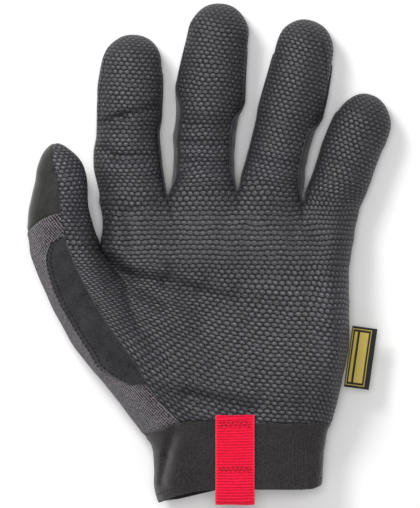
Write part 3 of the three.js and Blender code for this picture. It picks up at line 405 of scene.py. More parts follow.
def web_line(down, side="top"):
    """The palm's left edge: the finger's side above the web, the thumb's line below."""
    above = line(INDEX_SIDE, down, side)
    below = line(WEB_LINE, down, side)
    return [np.where(down * PALM_ROWS <= WEB_ROW + 1e-6, a, b) for a, b in zip(above, below)]


def ray(down, c, n, side):
    """A ray of the palm at a share of the way down, from c -1 to c 1 across."""
    j = down * PALM_ROWS
    left, top_left = (web_line(down, s) if n == 0 else line(LINES[n], down, s) for s in (side, "top"))
    right, top_right = (line(LINES[n + 1], down, s) for s in (side, "top"))
    crown = [(a + b) / 2 for a, b in zip(top_left, top_right)]
    crown[2] = read(CROWNS, "down", RAYS[n], down) * PALM_HEIGHT if side == "top" else 0.0 * down
    meet = 1 - ramp(0, MEET_ROWS, j)
    rounds = [1 - ramp(WEB_ROW, WEB_ROW + WEB_MEET_ROWS, j) if n == 0 else meet,
              1.0 + 0 * j if n == 3 else meet]
    if side == "under":
        return over_section(left, crown, right, c, (SEAM_ARC, SEAM_ARC), rounds)
    first = mix(SEAM_ARC, SIDE_ARC, ramp(0, SIDE_ROWS, j))
    opened = mix(first, SEAM_ARC, ramp(WEB_ROW, WEB_ROW + 1, j))
    angles = (opened if n == 0 else SEAM_ARC, first if n == 3 else SEAM_ARC)
    return over_section(left, crown, right, c, angles, rounds)


def thumb_root(down, q, run):
    """The thumb's root below the web. The runs are knit_under, knit_side, patch,
    to_crown, palm_side and palm_under, each from q 0 to q 1."""
    j = down * PALM_ROWS
    side = line(THUMB_SIDE, down)
    right, right_low = line(WEB_LINE, down), line(WEB_LINE, down, "under")
    seam = [read(THUMB_SEAM, "down", key, down) * size
            for key, size in (("across", PALM_WIDTH), ("up", PALM_LENGTH))]
    crown = [mix(seam[0], right[0], CROWN_SHARE), mix(seam[1], right[1], CROWN_SHARE),
             read(CROWNS, "down", "thumb", down) * PALM_HEIGHT]
    lift = THUMB_LIFT * (1 - ramp(WEB_ROW - LIFT_BEFORE, WEB_ROW + LIFT_AFTER, j))
    sink = SINK * (THUMB_LIFT - lift) / THUMB_LIFT
    low = [mix(side[0], right_low[0], 0.5), mix(side[1], right_low[1], 0.5), np.maximum(0, lift - sink)]
    reach = np.hypot(crown[0] - side[0], crown[1] - side[1])
    seam_share = np.hypot(crown[0] - seam[0], crown[1] - seam[1]) / reach
    seam_angle = np.degrees(np.arcsin(np.minimum(1, seam_share)))
    edge_angle = mix(seam_angle, 90, read(PATCH_EDGE, "down", "part", down))

    def arc(end, angle, peak):
        n, c = sind(angle), cosd(angle)
        return np.stack(np.broadcast_arrays(mix(end[0], side[0], n), mix(end[1], side[1], n),
                                            np.maximum(0, mix(side[2], peak, c))), -1)
    if run == "knit_under":
        return arc(low, mix(0.0, 90.0, q), lift - sink)
    if run == "knit_side":
        return arc(crown, mix(90.0, edge_angle, q), crown[2])
    if run == "patch":
        return arc(crown, mix(edge_angle, seam_angle, q), crown[2])
    if run == "to_crown":
        return arc(crown, mix(seam_angle, 0.0, q), crown[2])
    rounded = 1 - ramp(WEB_ROW, WEB_ROW + WEB_MEET_ROWS, j)
    if run == "palm_side":
        return half_section(crown, right, q, WEB_ANGLE, rounded)
    return half_section(low, right_low, 1 - q, SEAM_ARC, rounded)

# %% The thumb above the web
def thumb(ring, q, run):
    """The thumb's ring: rings 0 to 7 follow the body, 7 to 8 round off the tip."""
    web = [np.array(line(THUMB_SIDE, WEB_ROW / PALM_ROWS)), np.array(line(WEB_LINE, WEB_ROW / PALM_ROWS))]
    base = (web[0] + web[1]) / 2
    axis = np.array([-sind(THUMB_TURN), cosd(THUMB_TURN)])
    across = np.array([axis[1], -axis[0]])
    tip = np.clip(ring - 7, 0, 1) * 90
    round_off = cosd(tip)
    body = 1 - THUMB_TIP / THUMB_LENGTH

    def stop(column, r):
        s = read(THUMB_RINGS, "ring", column, np.minimum(r, 7))
        return np.where(r > 7, body + (1 - body) * sind(np.clip(r - 7, 0, 1) * 90), s)

    def at(angle, r, grow):
        n, c = sind(angle), cosd(angle)
        up = np.where(c > 0, stop("crown", r), stop("under", r))
        over = np.where(n > 0, stop("inner", r), stop("outer", r))
        s = up * c * c + over * n * n
        half = THUMB_WIDTH / 2 * read(THUMB_SECTIONS, "along", "wide", s) * grow
        side = THUMB_WIDTH / 2 * read(THUMB_SECTIONS, "along", "side", s)
        tall = THUMB_HEIGHT / 2 * read(THUMB_SECTIONS, "along", "high", s) * grow
        t, w = s * THUMB_LENGTH, side + half * n
        return np.stack(np.broadcast_arrays(base[0] + axis[0] * t + across[0] * w,
                                            base[1] + axis[1] * t + across[1] * w,
                                            THUMB_LIFT + THUMB_HEIGHT / 2 + tall * c), -1)

    def angle_of(r):
        seam = read(THUMB_SECTIONS, "along", "seam", stop("crown", r))
        edge = mix(seam, -90.0, read(THUMB_RINGS, "ring", "patch", np.minimum(r, 7)))
        crown = mix(seam, WEB_ANGLE, CROWN_SHARE)
        return {"knit_under": mix(UNDER_SEAM - 360, -90.0, q), "knit_side": mix(-90.0, edge, q),
                "patch": mix(edge, seam, q), "to_crown": mix(seam, crown, q),
                "palm_side": mix(crown, WEB_ANGLE, q), "palm_under": mix(WEB_ANGLE, UNDER_SEAM, q)}[run]
    carry = (1 - ramp(0, 3, ring))[..., None]
    root = thumb_root(np.full_like(ring * q, WEB_ROW / PALM_ROWS), q + 0 * ring, run)
    first = at(angle_of(0 * ring), 0 * ring, 1.0)
    return at(angle_of(ring), ring, round_off) + (root - first) * carry

# %% [markdown]
# The filled cloth isn't smooth. Broad folds run where the hand would bend. Each
# is a row of a table: a short line in mm from the heel, with a width and a
# depth. A row adds a soft dip or ridge whose section is a bell curve.

# %% Folds of the cloth
FOLDS = table("""
x0    y0    x1    y1    wide depth
-68.5 81.4  -59.8 71.9  3.4 -1.6
-60.5 72.4  -54.5 72.0  2.8 -2.2
-60.3 103.5 -59.3 86.0  3.4 -1.2
-57.3 76.0  -38.9 74.3  2.6 1.6
-38.9 74.3  -21.9 69.4  2.8 1.3
-21.9 69.4  -7.3  65.6  3.2 0.9
-7.3  65.6  26.7  61.2  4.0 0.6
-55.9 70.3  -38.9 68.3  1.7 -2.0
-38.9 68.3  -21.9 63.2  1.9 -1.5
-21.9 63.2  -4.0  58.6  2.4 -0.8
-57.6 66.5  -38.9 54.9  1.6 -1.6
-58.0 64.5  -51.0 45.2  1.7 -1.3
-62.0 60.5  -30.0 45.0  3.0 0.6
-50.0 48.0  -15.0 30.0  3.4 -0.6
-26.7 13.6  2.4   5.3   3.8 -2.9
-40.0 20.0  4.0   14.5  3.6 1.1
6.0   8.0   34.0  6.0   4.0 -0.7
-71.4 144.3 -59.8 148.2 1.5 -2.1
-59.8 148.2 -41.8 152.6 1.6 -1.8
-70.0 148.5 -44.0 157.5 2.6 0.6
-71.9 133.7 -62.7 128.3 1.6 -2.0
-62.7 128.3 -43.3 128.8 1.7 -2.0
-70.0 138.0 -45.0 134.5 2.8 0.6
-68.0 122.0 -43.7 122.5 3.2 1.0
-68.0 112.0 -46.0 115.0 2.4 -0.7
-66.0 104.0 -45.0 107.0 3.0 0.5
-29.2 151.0 -4.9  150.0 3.0 0.9
-30.0 143.8 -4.9  143.2 1.7 -1.4
-30.0 139.2 -4.9  138.6 1.8 1.0
-30.0 134.8 -4.9  134.2 1.5 -1.2
-30.0 130.4 -4.9  129.8 1.8 1.0
-30.0 124.9 -4.9  124.3 1.8 -1.3
-29.0 119.4 -4.9  118.6 2.8 0.9
-27.0 112.0 -8.0  112.5 2.2 -0.6
8.3   130.7 31.6  129.8 2.4 0.8
7.0   125.0 30.0  124.2 1.6 -1.0
6.3   119.4 28.2  118.6 2.0 0.8
5.8   114.4 26.0  113.9 1.6 -0.9
5.3   108.6 24.3  107.9 2.6 0.8
37.4  127.8 56.8  121.5 1.6 -0.9
36.0  121.8 55.0  116.0 2.2 0.7
34.5  112.7 50.0  107.8 1.8 -0.7
-60.8 101.0 -38.9 107.4 1.8 -0.6
-92.0 88.0  -76.0 92.0  2.4 -0.5
-90.0 99.0  -77.0 101.5 2.4 -0.4
-28.0 100.0 -10.0 97.0  3.0 -0.5
12.0  98.0  24.0  100.0 3.0 -0.5
-34.3 -1.2  -38.0 -16.0 2.0 -2.2
-38.0 -16.0 -40.5 -28.5 2.0 -2.4
-29.4 -1.2  -35.0 -9.2  2.0 -1.0
-31.0 -8.0  -35.0 -28.0 3.2 0.9
28.0  -4.0  30.0  -26.0 3.0 -0.7
-36.6 105.5 -33.5 95.0  3.0 0.6
-3.5  108.0 -2.2  97.0  3.0 0.6
27.8  103.0 28.1  90.0  3.4 1.1""")


def fold_height(x, y):
    """The sum of each fold's depth times a bell curve of the distance to its line."""
    total = np.zeros_like(x)
    for x0, y0, x1, y1, wide, depth in zip(*FOLDS.values()):
        dx, dy = x1 - x0, y1 - y0
        t = np.clip(((x - x0) * dx + (y - y0) * dy) / (dx * dx + dy * dy), 0, 1)
        away = np.hypot(x - x0 - dx * t, y - y0 - dy * t) / wide
        total += depth * np.exp(-away * away)
    return total


FINGERS_FROM, FINGERS_FULL = 100, 112
PALM_FOLDS, FINGER_FOLDS = (0.4, 0.75), (0.45, 0.85)


def pressed(points):
    """The skin with its folds: they count only near the top of the palm or a finger."""
    x, y, z = points.T
    on_palm = ramp(*PALM_FOLDS, z / PALM_HEIGHT)
    on_finger = ramp(FINGERS_FROM, FINGERS_FULL, y) * ramp(*FINGER_FOLDS, z / FINGER_HEIGHT)
    moved = points.copy()
    moved[:, 2] += fold_height(x, y) * np.maximum(on_palm, on_finger)
    return moved


def soft_waves(p):
    """Low waves of the filled cloth: three products of slow sines."""
    x, y, z = p[:, 0], p[:, 1], p[:, 2]
    return (0.22 * np.sin(x * 0.19 + 1.3 * np.sin(y * 0.07)) * np.sin(y * 0.16 + 0.8)
            + 0.12 * np.sin(x * 0.41 + y * 0.23) * np.sin(y * 0.37 - x * 0.11 + z * 0.2))

# %% [markdown]
# The real panels are cut flat and sewn. A cloth simulation could fill them, but
# one skin of grids keeps each seam where the solids have it. A panel merges its
# grids, rolls its edges in and gets its wall from a Solidify modifier.

# %% Grids of points become one merged mesh
TAB_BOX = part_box("pull_tab")
SEAM_Y = read(INDEX_MIDDLE, "down", "up", 1.0) * PALM_LENGTH
HEEL = np.array([(TAB_BOX[0].x + TAB_BOX[1].x) * 500 - TAB_ACROSS * PALM_WIDTH,
                 TAB_BOX[1].y * 1000 - SEAM_Y - TAB_ABOVE_SEAM, 0.0])
print("the heel's place in mm", HEEL)


def grid(make, u, v, of=(), uv=None, flip=False):
    """A stretch of skin: points at every u and v, its faces and its pattern's place."""
    U, V = np.meshgrid(u, v, indexing="ij")
    points = make(U, V, *of)
    index = np.arange(U.size).reshape(U.shape)
    a, b, c, d = index[:-1, :-1], index[1:, :-1], index[1:, 1:], index[:-1, 1:]
    order = (a, d, c, b) if flip else (a, b, c, d)
    pattern = uv(U, V, points) if uv else points[..., :2]
    return points.reshape(-1, 3), np.stack(order, -1).reshape(-1, 4), pattern.reshape(-1, 2)


def joined(patches):
    """Several stretches as one: their points, faces and pattern places in a row."""
    points, faces, places = zip(*patches)
    starts = np.cumsum([0] + [len(p) for p in points])
    faces = [f + start for f, start in zip(faces, starts)]
    return np.concatenate(points), np.concatenate(faces), np.concatenate(places)


def point_tree(points):
    """A tree that finds the nearest of these points."""
    tree = KDTree(len(points))
    for i, p in enumerate(points):
        tree.insert(p, i)
    tree.balance()
    return tree


def skin_normals(patches):
    """Each shared point's normal: the sum of its faces' normals over every panel."""
    points, faces = joined(patches)[:2]
    points = pressed(points)
    first, back = np.unique(np.round(points * 100).astype(int), axis=0,
                            return_index=True, return_inverse=True)[1:]
    a, b, c, d = (points[faces[:, k]] for k in range(4))
    total = np.zeros((len(first), 3))
    for k in range(4):
        np.add.at(total, back.ravel()[faces[:, k]], np.cross(c - a, d - b))
    total /= np.linalg.norm(total, axis=1, keepdims=True) + 1e-9
    return point_tree(points[first]), total


def mesh_of(name, points, faces):
    """A mesh in metres, from points in mm from the heel."""
    mesh = bpy.data.meshes.new(name)
    mesh.from_pydata(((points + HEEL) / 1000).tolist(), [], faces)
    return mesh


def new_piece(name, data):
    """An object of this name, put into the scene."""
    piece = bpy.data.objects.new(name, data)
    bpy.context.scene.collection.objects.link(piece)
    return piece


def sewn(name, patches, wall, dip=0.45, lift=0.0, skin=None):
    """Merges stretches into one panel, rolls its edges into the seams and gives it
    a wall on its inner side."""
    points, faces, places = joined(patches)
    mesh = mesh_of(name, pressed(points) if skin else points, faces.tolist())
    layer = mesh.uv_layers.new(name="cloth")
    corner = np.empty(len(mesh.loops), np.int32)
    mesh.loops.foreach_get("vertex_index", corner)
    layer.data.foreach_set("uv", places[corner].astype(np.float32).ravel())
    shell = bmesh.new()
    shell.from_mesh(mesh)
    bmesh.ops.remove_doubles(shell, verts=shell.verts, dist=2e-6)
    bmesh.ops.dissolve_degenerate(shell, edges=shell.edges, dist=1e-7)
    shell.verts.index_update()
    shell.to_mesh(mesh)
    rim = sorted({v.index for e in shell.edges if e.is_boundary for v in e.verts})
    shell.free()
    shape_edges(mesh, rim, dip, lift, skin)
    mesh.shade_smooth()
    piece = new_piece(name, mesh)
    solid = piece.modifiers.new("wall", "SOLIDIFY")
    solid.thickness, solid.offset = wall / 1000, -1
    print(name, len(mesh.vertices), "points")
    return piece


ROLLED_EDGE = 2.4e-3
LIES_BELOW, FREE_ABOVE = 0.4, 2.5


def shape_edges(mesh, rim, dip, lift, skin):
    """Draws the surface in by a quarter circle over the last stretch before a seam,
    and adds the cloth's low waves. What lies on the ground stays flat."""
    count = len(mesh.vertices)
    co, no = np.empty(count * 3, np.float32), np.empty(count * 3, np.float32)
    mesh.vertices.foreach_get("co", co)
    mesh.vertices.foreach_get("normal", no)
    co, no = co.reshape(-1, 3).astype(float), no.reshape(-1, 3).astype(float)
    if skin:
        no = np.array([skin[1][skin[0].find(p)[1]] for p in co * 1000 - HEEL])
    edge = point_tree(co[rim])
    away = np.array([min(ROLLED_EDGE, edge.find(p)[2]) for p in co]) / ROLLED_EDGE
    drop = dip * (1 - np.sqrt(1 - (1 - away) ** 2))
    wave = soft_waves(co * 1000) * ramp(0, 1, away)
    free = ramp(LIES_BELOW, FREE_ABOVE, co[:, 2] * 1000)
    moved = co + no * ((lift - drop + wave) * free / 1000)[:, None]
    moved[:, 2] = np.maximum(moved[:, 2], 0)
    mesh.vertices.foreach_set("co", moved.astype(np.float32).ravel())
    mesh.update()

# %% [markdown]
# The textured leather follows each finger, so its pattern has places of its own
# in millimetres. Object coordinates would slide over the sides. Above the palm's
# crease the rows lie level. Below it they are closer and tilt down to the right,
# most over the thumb's root.

# %% Places of the pattern on the leather
STRETCH_FROM, STRETCH_TO, STRETCH_SHARE = 46.0, 82.0, 0.125
ROWS_TILTED, ROWS_LEVEL, ROW_TILT = 40, 84, 0.05
SIDE_FROM, SIDE_TO, SIDE_SHARE = 24, 50, 0.8
WIDE_COLUMNS, CLOSE_COLUMNS, CLOSE_ROWS = 0.846, 0.962, 0.99


def palm_pattern(U, V, p):
    """Above the crease the rows are further apart and lie level. Below it the ovals
    are wider, and the rows tilt by a slope that eases off to the right.
    Down the little finger's side the columns count the fall in height too."""
    x, y = p[..., 0], p[..., 1]
    x = x + ramp(SIDE_FROM, SIDE_TO, x) * (PALM_HEIGHT - p[..., 2]) * SIDE_SHARE
    upper = ramp(ROWS_TILTED, ROWS_LEVEL, y)
    rise = STRETCH_TO - STRETCH_FROM
    t = np.clip((y - STRETCH_FROM) / rise, 0, 1)
    stretched = rise * (t ** 3 - t ** 4 / 2) + np.maximum(y - STRETCH_TO, 0)
    tilt = 0.085 * x - 0.00405 * np.minimum(x - 10, 0) ** 2 + 0.4
    return np.stack([x * mix(WIDE_COLUMNS, CLOSE_COLUMNS, upper),
                     CLOSE_ROWS * y - STRETCH_SHARE * stretched + tilt * (1 - upper)], -1)


def run_length(points, axis):
    """Distance walked along one direction of a grid, from its first stop."""
    step = np.linalg.norm(np.diff(points, axis=axis), axis=-1)
    zero = np.zeros_like(np.take(step, [0], axis=axis))
    return np.concatenate([zero, np.cumsum(step, axis=axis)], axis=axis)


def limb_pattern(column, ease):
    """Distance round the limb from one column, and along that column, in mm. The
    rows tilt a little; near the palm they ease into the palm's own places."""
    def place(U, V, points):
        palm_place = palm_pattern(U, V, points)
        round_it = run_length(points, 1)
        round_it = round_it - round_it[:, column:column + 1]
        along = run_length(points, 0)[:, column:column + 1] + 0 * U
        own = palm_place[:1, column:column + 1] + np.stack([round_it, along + ROW_TILT * round_it], -1)
        return mix(palm_place, own, ramp(0, ease, along)[..., None])
    return place


def thumb_front(U, V):
    """The thumb's textured side in one sheet: three runs one after another."""
    runs = ("to_crown", "palm_side", "palm_under")
    parts = [thumb(U, np.clip(V - i, 0, 1), run) for i, run in enumerate(runs)]
    return np.where((V < 1)[..., None], parts[0], np.where((V < 2)[..., None], parts[1], parts[2]))

# %% [markdown]
# Now the panels themselves. The palm's leather wraps the fingers' fronts and the
# thumb's pad, thin strips join front and back between the fingers, and knit, cap
# and patch cover the thumb. Each is a list of grids over the shared skin.

# %% Sample counts
def steps(a, b, size):
    """Even stops from a to b, about a size apart."""
    return np.linspace(a, b, max(2, int(round(abs(b - a) / size)) + 1))


ACROSS = np.linspace(-1, 1, 31)
STRIP = np.linspace(0, 1, 11)
DOWN = np.linspace(0, 1, 91)
WEB_STOP = 26
DOWN[WEB_STOP] = WEB_ROW / PALM_ROWS
LONG = {name: np.concatenate([[0, 0.25, 0.6, 1.1], steps(1.7, f["length"] - FINGERTIP, 1.25),
                              f["length"] - FINGERTIP * (1 - sind(np.linspace(6, 90, 15)))])
        for name, f in FINGERS.items()}
ROOT = DOWN[WEB_STOP:]
RINGS = np.concatenate([np.linspace(0, 7, 43), 7 + np.linspace(0.07, 1, 12)])
CAP_RING = 3.0
RUNS = {"knit_under": 16, "knit_side": 12, "patch": 14, "to_crown": 5, "palm_side": 15, "palm_under": 14}
COLS = {name: np.linspace(0, 1, count) for name, count in RUNS.items()}

# %% Palm panel
FINGER_EASE, THUMB_EASE, THUMB_COLUMN = 16.0, 22.0, 6
palm = []
for n, name in enumerate(RAYS):
    palm.append(grid(finger, LONG[name], ACROSS, (name, "top"),
                     limb_pattern(len(ACROSS) // 2, FINGER_EASE), flip=True))
    palm.append(grid(ray, DOWN, ACROSS, (n, "top"), palm_pattern))
for run in ("to_crown", "palm_side"):
    palm.append(grid(thumb_root, ROOT, COLS[run], (run,), palm_pattern))
FRONT = np.concatenate([COLS["to_crown"][:-1], 1 + COLS["palm_side"][:-1], 2 + COLS["palm_under"]])
palm.append(grid(thumb_front, RINGS, FRONT, (), limb_pattern(THUMB_COLUMN, THUMB_EASE), flip=True))

# %% Back panel, plain because the photograph hides it
back = []
for n, name in enumerate(RAYS):
    back.append(grid(finger, LONG[name], ACROSS, (name, "under")))
    back.append(grid(ray, DOWN, ACROSS, (n, "under"), flip=True))
back.append(grid(thumb_root, ROOT, COLS["palm_under"], ("palm_under",)))

# %% Side strips between the fingers
strips = {}
for key in ("index_middle", "middle_ring", "ring_little"):
    strips[key] = []
    for name in RAYS:
        end = FINGERS[name]["length"] * STRIP_END
        stops = np.append(LONG[name][LONG[name] <= end], end)
        for side, owner in zip(("left", "right"), FINGERS[name]["sides"]):
            if owner == key:
                strips[key].append(grid(finger, stops, STRIP, (name, side), flip=side == "left"))

# %% Knit back of the thumb, its cap and the patch
OUTER_RUNS = ("knit_under", "knit_side", "patch")
PATCH_END, PATCH_TURN, PATCH_ROUND, PATCH_OVERLAP = 12 / PALM_ROWS, 0.135, 2.6, 1.08
PATCH_DOWN = np.linspace(WEB_ROW / PALM_ROWS, PATCH_END, 70)
cap_stops, knit_stops = RINGS[RINGS >= CAP_RING], RINGS[RINGS <= CAP_RING]
knit = [grid(thumb, knit_stops, COLS[run], (run,), flip=True) for run in OUTER_RUNS]
knit += [grid(thumb_root, ROOT, COLS[run], (run,)) for run in OUTER_RUNS]
cap = [grid(thumb, cap_stops, COLS[run], (run,), flip=True) for run in OUTER_RUNS]


def patch_web(U, V):
    """The patch above the web, where it follows the thumb."""
    return thumb(U, V * PATCH_OVERLAP, "patch")


def patch_corner(U, V):
    """The patch below the web. Its outer edge follows the table, then turns in to
    the palm's seam by an ellipse over the last stretch. It overlaps that seam a little."""
    turn = np.clip((U - PATCH_END + PATCH_TURN) / PATCH_TURN, 0, 1)
    inset = 1 - np.sqrt(np.maximum(0, 1 - turn ** PATCH_ROUND))
    return thumb_root(U, mix(inset * 0.97, PATCH_OVERLAP, V), "patch")


patch = [grid(patch_web, RINGS[RINGS <= 1.0], COLS["patch"], flip=True),
         grid(patch_corner, PATCH_DOWN, COLS["patch"])]

# %% [markdown]
# The cuff is a short knit tube, sewn to the palm's last row. A new tube would have
# to be fitted to that row, so the row itself slides down to the mouth instead.

# %% Cuff with its turned hem
def last_row(make, columns, *of):
    """One row of points at the foot of the palm."""
    return make(np.ones((1, 1)), columns[None], *of)[0]


def chained(rows):
    """Rows end to end, without the points that two of them share."""
    return np.concatenate([rows[0]] + [row[1:] for row in rows[1:]])


over = [last_row(thumb_root, COLS[run], run) for run in ("knit_side", "patch", "to_crown", "palm_side")]
under = [last_row(thumb_root, COLS[run], run)[::-1] for run in ("knit_under", "palm_under")]
CUFF_TOP = chained(over + [last_row(ray, ACROSS, n, "top") for n in range(4)])
CUFF_UNDER = chained(under + [last_row(ray, ACROSS, n, "under") for n in range(4)])


def cuff_sheet(U, V, row, face):
    """Each point of the seam row slides down to the mouth while the row narrows."""
    first, last = CUFF_TOP[0], CUFF_TOP[-1]
    p = row[V.astype(int)]
    u = (p[..., 0] - first[0]) / (last[0] - first[0])
    left, right = (end[0] + (read(CUFF_SECTIONS, "along", key, U) - CUFF_SECTIONS[key][0]) * CUFF_WIDTH / 2
                   for end, key in ((first, "left"), (last, "right")))
    mouth = -read(MOUTH, "across", face, np.clip(u, 0, 1)) * CUFF_LENGTH
    rise = read(CUFF_SECTIONS, "along", "high", U) / CUFF_SECTIONS["high"][0]
    side = mix(first[2], last[2], u)
    z = side + (p[..., 2] - side) * rise if face == "front" else p[..., 2]
    return np.stack([mix(left, right, u), mix(p[..., 1], mouth, U), z], -1)


cuff_stops = np.linspace(0, 1, 40)
cuff = [grid(cuff_sheet, cuff_stops, np.arange(len(CUFF_TOP)), (CUFF_TOP, "front")),
        grid(cuff_sheet, cuff_stops, np.arange(len(CUFF_UNDER)), (CUFF_UNDER, "back"), flip=True)]

# %% Sew the panels
SKIN = skin_normals(palm + back + knit + cap + cuff + sum(strips.values(), []))
palm_leather = sewn("palm_leather", palm, WALLS["palm"], skin=SKIN)
back_cloth = sewn("back_cloth", back, WALLS["back"], skin=SKIN)
thumb_knit = sewn("thumb_knit", knit, WALLS["knit"], skin=SKIN)
thumb_cap = sewn("thumb_cap", cap, WALLS["cap"], skin=SKIN)
wrist_cuff = sewn("wrist_cuff", cuff, WALLS["cuff"], skin=SKIN)
thumb_patch = sewn("thumb_suede_patch", patch, WALLS["patch"], WALLS["patch"] + 0.5,
                   WALLS["patch"] + 0.2, SKIN)
strips = {key: sewn(key + "_strip", patches, WALLS["side"], skin=SKIN) for key, patches in strips.items()}

# %% [markdown]
# The pull tab is a length of ribbed webbing, sewn to the outside, looped past
# the hem and sewn inside. A carried profile suits it: one path of heights read
# from the cloth below, repeated across the width.

# %% Heights of the cloth below a place
def skin_tree(*pieces):
    """One tree of all the outer faces, for rays that fall on the cloth."""
    verts, faces = [], []
    for piece in pieces:
        start = len(verts)
        verts += [v.co.copy() for v in piece.data.vertices]
        faces += [[start + i for i in p.vertices] for p in piece.data.polygons]
    return BVHTree.FromPolygons(verts, faces)


def fall(tree, x, y):
    """What a ray meets that falls straight down at a place in mm from the heel."""
    return tree.ray_cast(Vector(((x + HEEL[0]) / 1000, (y + HEEL[1]) / 1000, 0.1)), Vector((0, 0, -1)))


CLOTH = skin_tree(palm_leather, wrist_cuff)

# %% Pull tab
TAB_X = TAB_ACROSS * PALM_WIDTH
TAB_STOPS, TAB_COLUMNS, RIB, RIB_HEIGHT = 321, 27, 1.35, 0.07
HEM_MARGIN, TAB_EDGE, TAB_EDGE_DROP, TAB_SKIN = 0.4, 0.6, 0.45, 0.08


def tab_path(x):
    """Down the outside, half round an ellipse past the hem, and back up inside."""
    u = (TAB_X - CUFF_TOP[0, 0]) / (CUFF_TOP[-1, 0] - CUFF_TOP[0, 0])
    hem = float(-read(MOUTH, "across", "front", u) * CUFF_LENGTH)
    safe = hem + HEM_MARGIN
    down = np.linspace(float(SEAM_Y) + TAB_ABOVE_SEAM, safe, 61)
    heights = np.array([fall(CLOTH, x, y)[0].z * 1000 for y in down])
    smooth = np.convolve(np.pad(heights, 5, mode="edge"), np.ones(11) / 11, mode="valid")
    outside = np.stack([down, np.maximum(heights, smooth) + TAB_GAP], -1)
    inner = WALLS["cuff"] + HEM_RISE + TAB_GAP
    below = heights[-1] - inner
    turn = np.linspace(0, np.pi, 31)[1:-1]
    nose = TAB_LOOP - TAB_WALL + safe - hem
    middle, tall = (outside[-1, 1] + below) / 2, (outside[-1, 1] - below) / 2
    loop = np.stack([safe - nose * np.sin(turn) ** 0.8, middle + tall * np.cos(turn)], -1)
    back_y = np.linspace(safe, hem + TAB_INSIDE, 21)
    inside = np.stack([back_y, np.interp(-back_y, -down, heights) - inner], -1)
    return np.concatenate([outside, loop, inside])


def even(path, count):
    """The same path with its stops an equal distance apart."""
    run = np.concatenate([[0], np.cumsum(np.hypot(*np.diff(path, axis=0).T))])
    at = np.linspace(0, run[-1], count)
    return np.stack([np.interp(at, run, path[:, 0]), np.interp(at, run, path[:, 1])], -1), run[-1]


middle_path, TAB_RUN = even(tab_path(TAB_X), TAB_STOPS)
print("the webbing is", round(float(TAB_RUN), 1), "mm long")


def webbing_sheet(U, V):
    """The outer side: each column's path moved out by the wall, with a sine's low
    ribs along it and edges that turn down by a quarter circle."""
    across = TAB_X + (V[0] - 0.5) * TAB_WIDTH
    paths = np.stack([even(tab_path(x), TAB_STOPS)[0] for x in across], 1)
    way = np.gradient(paths, axis=0)
    way /= np.linalg.norm(way, axis=-1, keepdims=True)
    rib = RIB_HEIGHT * np.sin(U * TAB_RUN * 2 * np.pi / RIB)
    edge = np.clip((np.abs(V - 0.5) - 0.5) * TAB_WIDTH / TAB_EDGE + 1, 0, 1)
    out = TAB_WALL - TAB_SKIN + rib - TAB_EDGE_DROP * (1 - np.sqrt(1 - edge ** 2))
    return np.stack([np.broadcast_to(across, U.shape), paths[..., 0] + way[..., 1] * out,
                     paths[..., 1] - way[..., 0] * out], -1)


def webbing_places(U, V, p):
    """Distance across the webbing and along it, in mm."""
    return np.stack([V * TAB_WIDTH, U * TAB_RUN], -1)


tab_columns = np.concatenate([[0, 0.008, 0.02], np.linspace(0.035, 0.965, TAB_COLUMNS - 6), [0.98, 0.992, 1]])
webbing = grid(webbing_sheet, np.linspace(0, 1, TAB_STOPS), tab_columns, uv=webbing_places)
pull_tab = sewn("webbing_tab", [webbing], TAB_WALL - 0.2, dip=0)

# %% [markdown]
# The side label is a ribbon folded double and caught in the seam. One drooping
# sheet with a wall stands for both layers, and its outer end is rounded where
# the ribbon folds.

# %% Side label, a folded ribbon that stands out of the seam
def label_root(share):
    """A place on the little finger's side, at a share of the way down the label."""
    y = LABEL_FROM_CUFF + LABEL_LENGTH * (1 - share)
    return np.array(line(LITTLE_SIDE, np.interp(-y / PALM_LENGTH, -LITTLE_SIDE["up"], LITTLE_SIDE["down"])))


LABEL_TOP, LABEL_FOOT = label_root(0.0), label_root(1.0)
LABEL_BULGE = max(label_root(t)[0] - mix(LABEL_TOP[0], LABEL_FOOT[0], t) for t in np.linspace(0, 1, 9))


def label_sheet(U, V):
    """Out from the seam by U and straight down by V; the ribbon droops by the square."""
    x, up, z = (mix(LABEL_TOP[i], LABEL_FOOT[i], V) for i in range(3))
    reach = TAB_GAP + U * LABEL_WIDTH
    end = 0.35 * np.clip((U - 0.94) / 0.06, 0, 1) ** 2
    return np.stack([x + LABEL_BULGE + reach * cosd(LABEL_TURN), up - reach * sind(LABEL_TURN),
                     z - LABEL_DROOP * U * U + LABEL_WALL / 2 - end], -1)


def label_places(U, V, p):
    """Distance out from the seam and down the label, in mm."""
    return np.stack([U * LABEL_WIDTH, V * LABEL_LENGTH], -1)


ribbon = grid(label_sheet, np.append(np.linspace(0, 0.92, 24), [0.95, 0.975, 1]), np.linspace(0, 1, 41),
              uv=label_places, flip=True)
side_label = sewn("woven_label", [ribbon], LABEL_WALL - 0.1, dip=0)

# %% [markdown]
# Thread is what makes a seam look sewn. Each stitch is one small rounded bead
# that lies along its row, and all the rows of one kind make one mesh.

# %% Rows of stitches
def bead(half, radius):
    """A capsule of six sides: rings whose radius follows a half circle at each end."""
    reach = np.array([-1, -0.8, -0.3, 0.3, 0.8, 1]) * half
    size = np.array([0.15, 0.75, 1, 1, 0.75, 0.15]) * radius
    turn = np.linspace(0, 2 * np.pi, 6, endpoint=False)
    ring = np.stack([np.cos(turn), np.sin(turn)], -1)
    points = np.concatenate([np.column_stack([np.full(6, a), ring * r]) for a, r in zip(reach, size)])
    faces = [[(k + 1) * 6 + i, (k + 1) * 6 + (i + 1) % 6, k * 6 + (i + 1) % 6, k * 6 + i]
             for k in range(5) for i in range(6)]
    return points, faces + [[0, 1, 2, 3, 4, 5], [35, 34, 33, 32, 31, 30]]


def along(path, run, at):
    """The place on a path at each distance along it."""
    return np.stack([np.interp(at, run, path[:, i]) for i in range(3)], -1)


